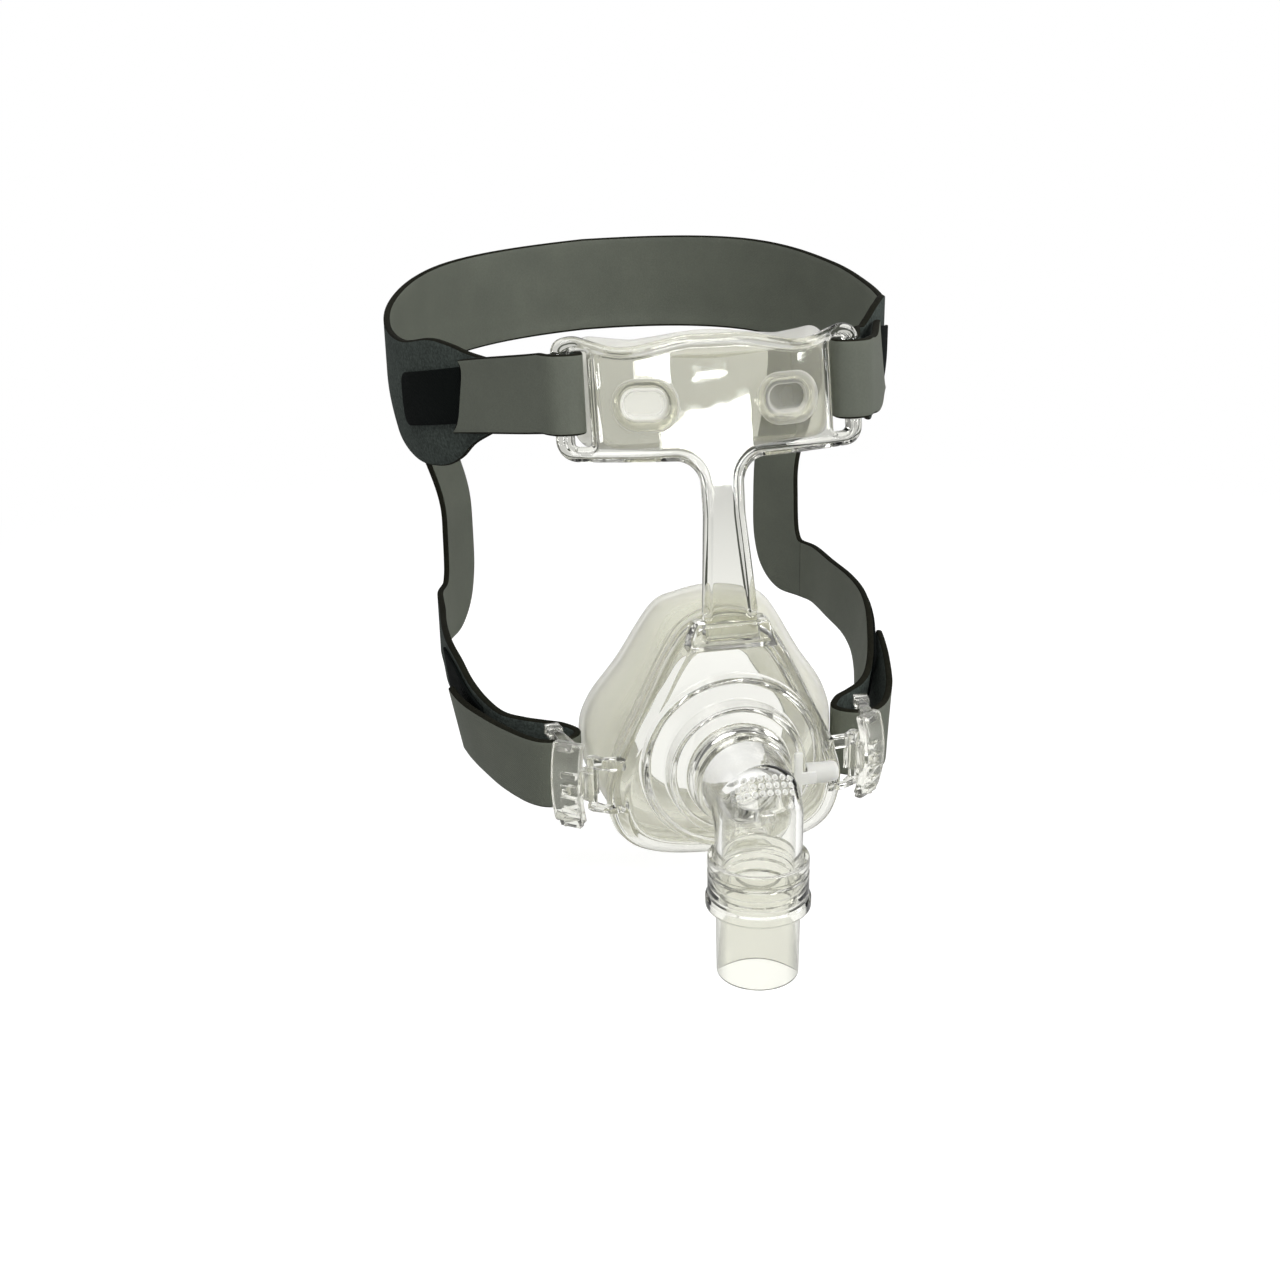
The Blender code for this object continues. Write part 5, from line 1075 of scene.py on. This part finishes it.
# Studio. A white floor and room with darker sides, which give the clear plastic its grey edge lines, and
# soft lamps. A long low lamp in front is the one whose reflection lies on the plate.
SEEN_WHITE = 0.74  # what the floor under the mask adds, so that with its lit paint it shows as white
SIDE_LEVEL = 0.22
MIRRORED_LEVEL = 0.75
FLOOR_MIRRORED = 0.15
FLOOR_HALF = 6.0


def room_look(tree, toward):
    """Brightness of the room to glossy and transmitted rays: white behind the mask, dim at its sides.

    toward is the share of a direction that points back. In front it is dim again for reflections. The
    light path comes with it, and a socket that is 1 for those rays.
    """
    path = add(tree, "ShaderNodeLightPath")
    glossy, transmitted = path.outputs["Is Glossy Ray"], path.outputs["Is Transmission Ray"]
    behind = ramp(tree, toward, 0.25, 0.85, kind="SMOOTHSTEP")
    ahead = ramp(tree, toward, -0.25, -0.85, 0.0, 0.65, "SMOOTHSTEP")
    share = computed(tree, "MAXIMUM", behind, computed(tree, "MULTIPLY", ahead, transmitted))
    level = computed(tree, "MULTIPLY", ramp(tree, share, low=SIDE_LEVEL),
                     ramp(tree, glossy, low=1.0, high=MIRRORED_LEVEL))
    return path, level, computed(tree, "ADD", glossy, transmitted, clamp=True)


# The floor. Round the mask it is lit paint, so that it keeps the shadow, and from 0.20 to 0.55 m out it
# turns into plain white. What is mirrored in the mask eases to the room's levels from 0.16 to 0.34 m out.
floor_material, tree, out = new_material("white_floor")
place = add(tree, "ShaderNodeTexCoord")
flat_way = add(tree, "ShaderNodeVectorMath", {1: (1.0, 1.0, 0.0)}, {0: place.outputs["Object"]},
               operation="MULTIPLY")
far = add(tree, "ShaderNodeVectorMath", (), {0: flat_way.outputs[0]}, operation="LENGTH").outputs["Value"]
unit = add(tree, "ShaderNodeVectorMath", (), {0: flat_way.outputs[0]}, operation="NORMALIZE")
split = add(tree, "ShaderNodeSeparateXYZ", (), {0: unit.outputs[0]})
path, level, seen = room_look(tree, split.outputs["Y"])
use_level = computed(tree, "MULTIPLY", ramp(tree, far, 0.16, 0.34, kind="SMOOTHSTEP"), seen)
strength = add(tree, "ShaderNodeMix", {"A": 1.0}, {"Factor": use_level, "B": level})
glow = add(tree, "ShaderNodeEmission", (), {"Strength": strength.outputs[0]})
near_level = ramp(tree, path.outputs["Is Reflection Ray"], low=SEEN_WHITE, high=FLOOR_MIRRORED)
near_glow = add(tree, "ShaderNodeEmission", (), {"Strength": near_level})
paint = add(tree, "ShaderNodeBsdfDiffuse", {"Color": (0.5, 0.5, 0.5, 1.0)})
near = add(tree, "ShaderNodeAddShader", (), {0: paint.outputs[0], 1: near_glow.outputs[0]})
open_floor = mixed(tree, ramp(tree, far, 0.20, 0.55, kind="SMOOTHSTEP"), near, glow)
any_seen = computed(tree, "ADD", path.outputs["Is Camera Ray"], seen, clamp=True)
mix = mixed(tree, any_seen, paint, open_floor)
tree.links.new(mix.outputs[0], out.inputs["Surface"])
floor_z = float(cad_box[0][2]) - 0.0005
floor = piece("floor", [(x, y, floor_z) for x, y in rectangle(-FLOOR_HALF, FLOOR_HALF, -FLOOR_HALF, FLOOR_HALF)],
              [(0, 1, 2, 3)], floor_material)

# The room. The camera sees white, clear and glossy surfaces see its levels, and the rest is lit evenly.
world = bpy.data.worlds.new("studio")
scene.world = world
world.use_nodes = True
tree = world.node_tree
tree.nodes.clear()
out = add(tree, "ShaderNodeOutputWorld")
place = add(tree, "ShaderNodeTexCoord")
split = add(tree, "ShaderNodeSeparateXYZ", (), {0: place.outputs["Generated"]})
path, level, seen = room_look(tree, split.outputs["Y"])
light_side = add(tree, "ShaderNodeBackground", {"Strength": 0.40})
room = add(tree, "ShaderNodeBackground", (), {"Strength": level})
backdrop = add(tree, "ShaderNodeBackground", {"Strength": 1.0})
for ground in (light_side, room, backdrop):
    ground.inputs["Color"].default_value = (1.0, 1.0, 1.0, 1.0)
mix = mixed(tree, path.outputs["Is Camera Ray"], mixed(tree, seen, light_side, room), backdrop)
tree.links.new(mix.outputs[0], out.inputs["Surface"])


def lamp(name, place, target, width, height, power, shape="RECTANGLE", tilt=0.0):
    """Soft flat lamp that looks at a point, its width level but for a tilt."""
    data = bpy.data.lights.new(name, "AREA")
    data.shape, data.size, data.size_y, data.energy = shape, width, height, power
    made = bpy.data.objects.new(name, data)
    place, target = np.array(place, float), np.array(target, float)
    back = (place - target) / np.linalg.norm(place - target)
    right = np.cross((0.0, 0.0, 1.0), back)
    right /= np.linalg.norm(right)
    right = right * math.cos(tilt) + np.cross(back, right) * math.sin(tilt)
    turned_to = np.vstack([np.column_stack([right, np.cross(back, right), back, place]), (0, 0, 0, 1)])
    made.matrix_world = Matrix(turned_to.tolist())
    made.visible_camera = False
    scene.collection.objects.link(made)


# The first four lamps lie 0.9 m along the line in which the plate, at its neck, mirrors the camera's
# view, each moved a way across that line and up it.
neck = np.array((-0.0035, -0.0165, 0.0851))
mirrored = np.array((0.168, -0.954, 0.247))
lamp_right, lamp_up = np.array((0.985, 0.174, 0.0)), np.array((-0.043, 0.243, 0.969))
for word, across_by, up_by, width, height, power, shape, tilt in (
        ("key", 0.005, -0.001, 0.51, 0.067, 1.4, "RECTANGLE", 0.0),
        ("glint_middle", 0.040, 0.0600, 0.20, 0.008, 0.07, "ELLIPSE", -0.035),
        ("glint_right", -0.270, 0.085, 0.19, 0.028, 0.2, "RECTANGLE", 0.0),
        ("glint_left", 0.658, 0.061, 0.10, 0.009, 0.03, "ELLIPSE", 0.0)):
    lamp(word, neck + 0.9 * mirrored + across_by * lamp_right + up_by * lamp_up, neck, width, height, power,
         shape, tilt)
mask_middle = (0.0, 0.02, 0.03)
lamp("overhead", (-0.35, -0.45, 1.0), mask_middle, 0.7, 0.7, 5.3)
lamp("fill", (0.65, -0.8, 0.78), mask_middle, 0.6, 0.6, 4.9)
lamp("side", (1.1, -0.25, 0.35), mask_middle, 0.5, 0.5, 3.0)

scene.view_settings.view_transform = "Standard"
scene.cycles.max_bounces = 24
scene.cycles.transmission_bounces = 20
scene.cycles.glossy_bounces = 8
scene.cycles.transparent_max_bounces = 32
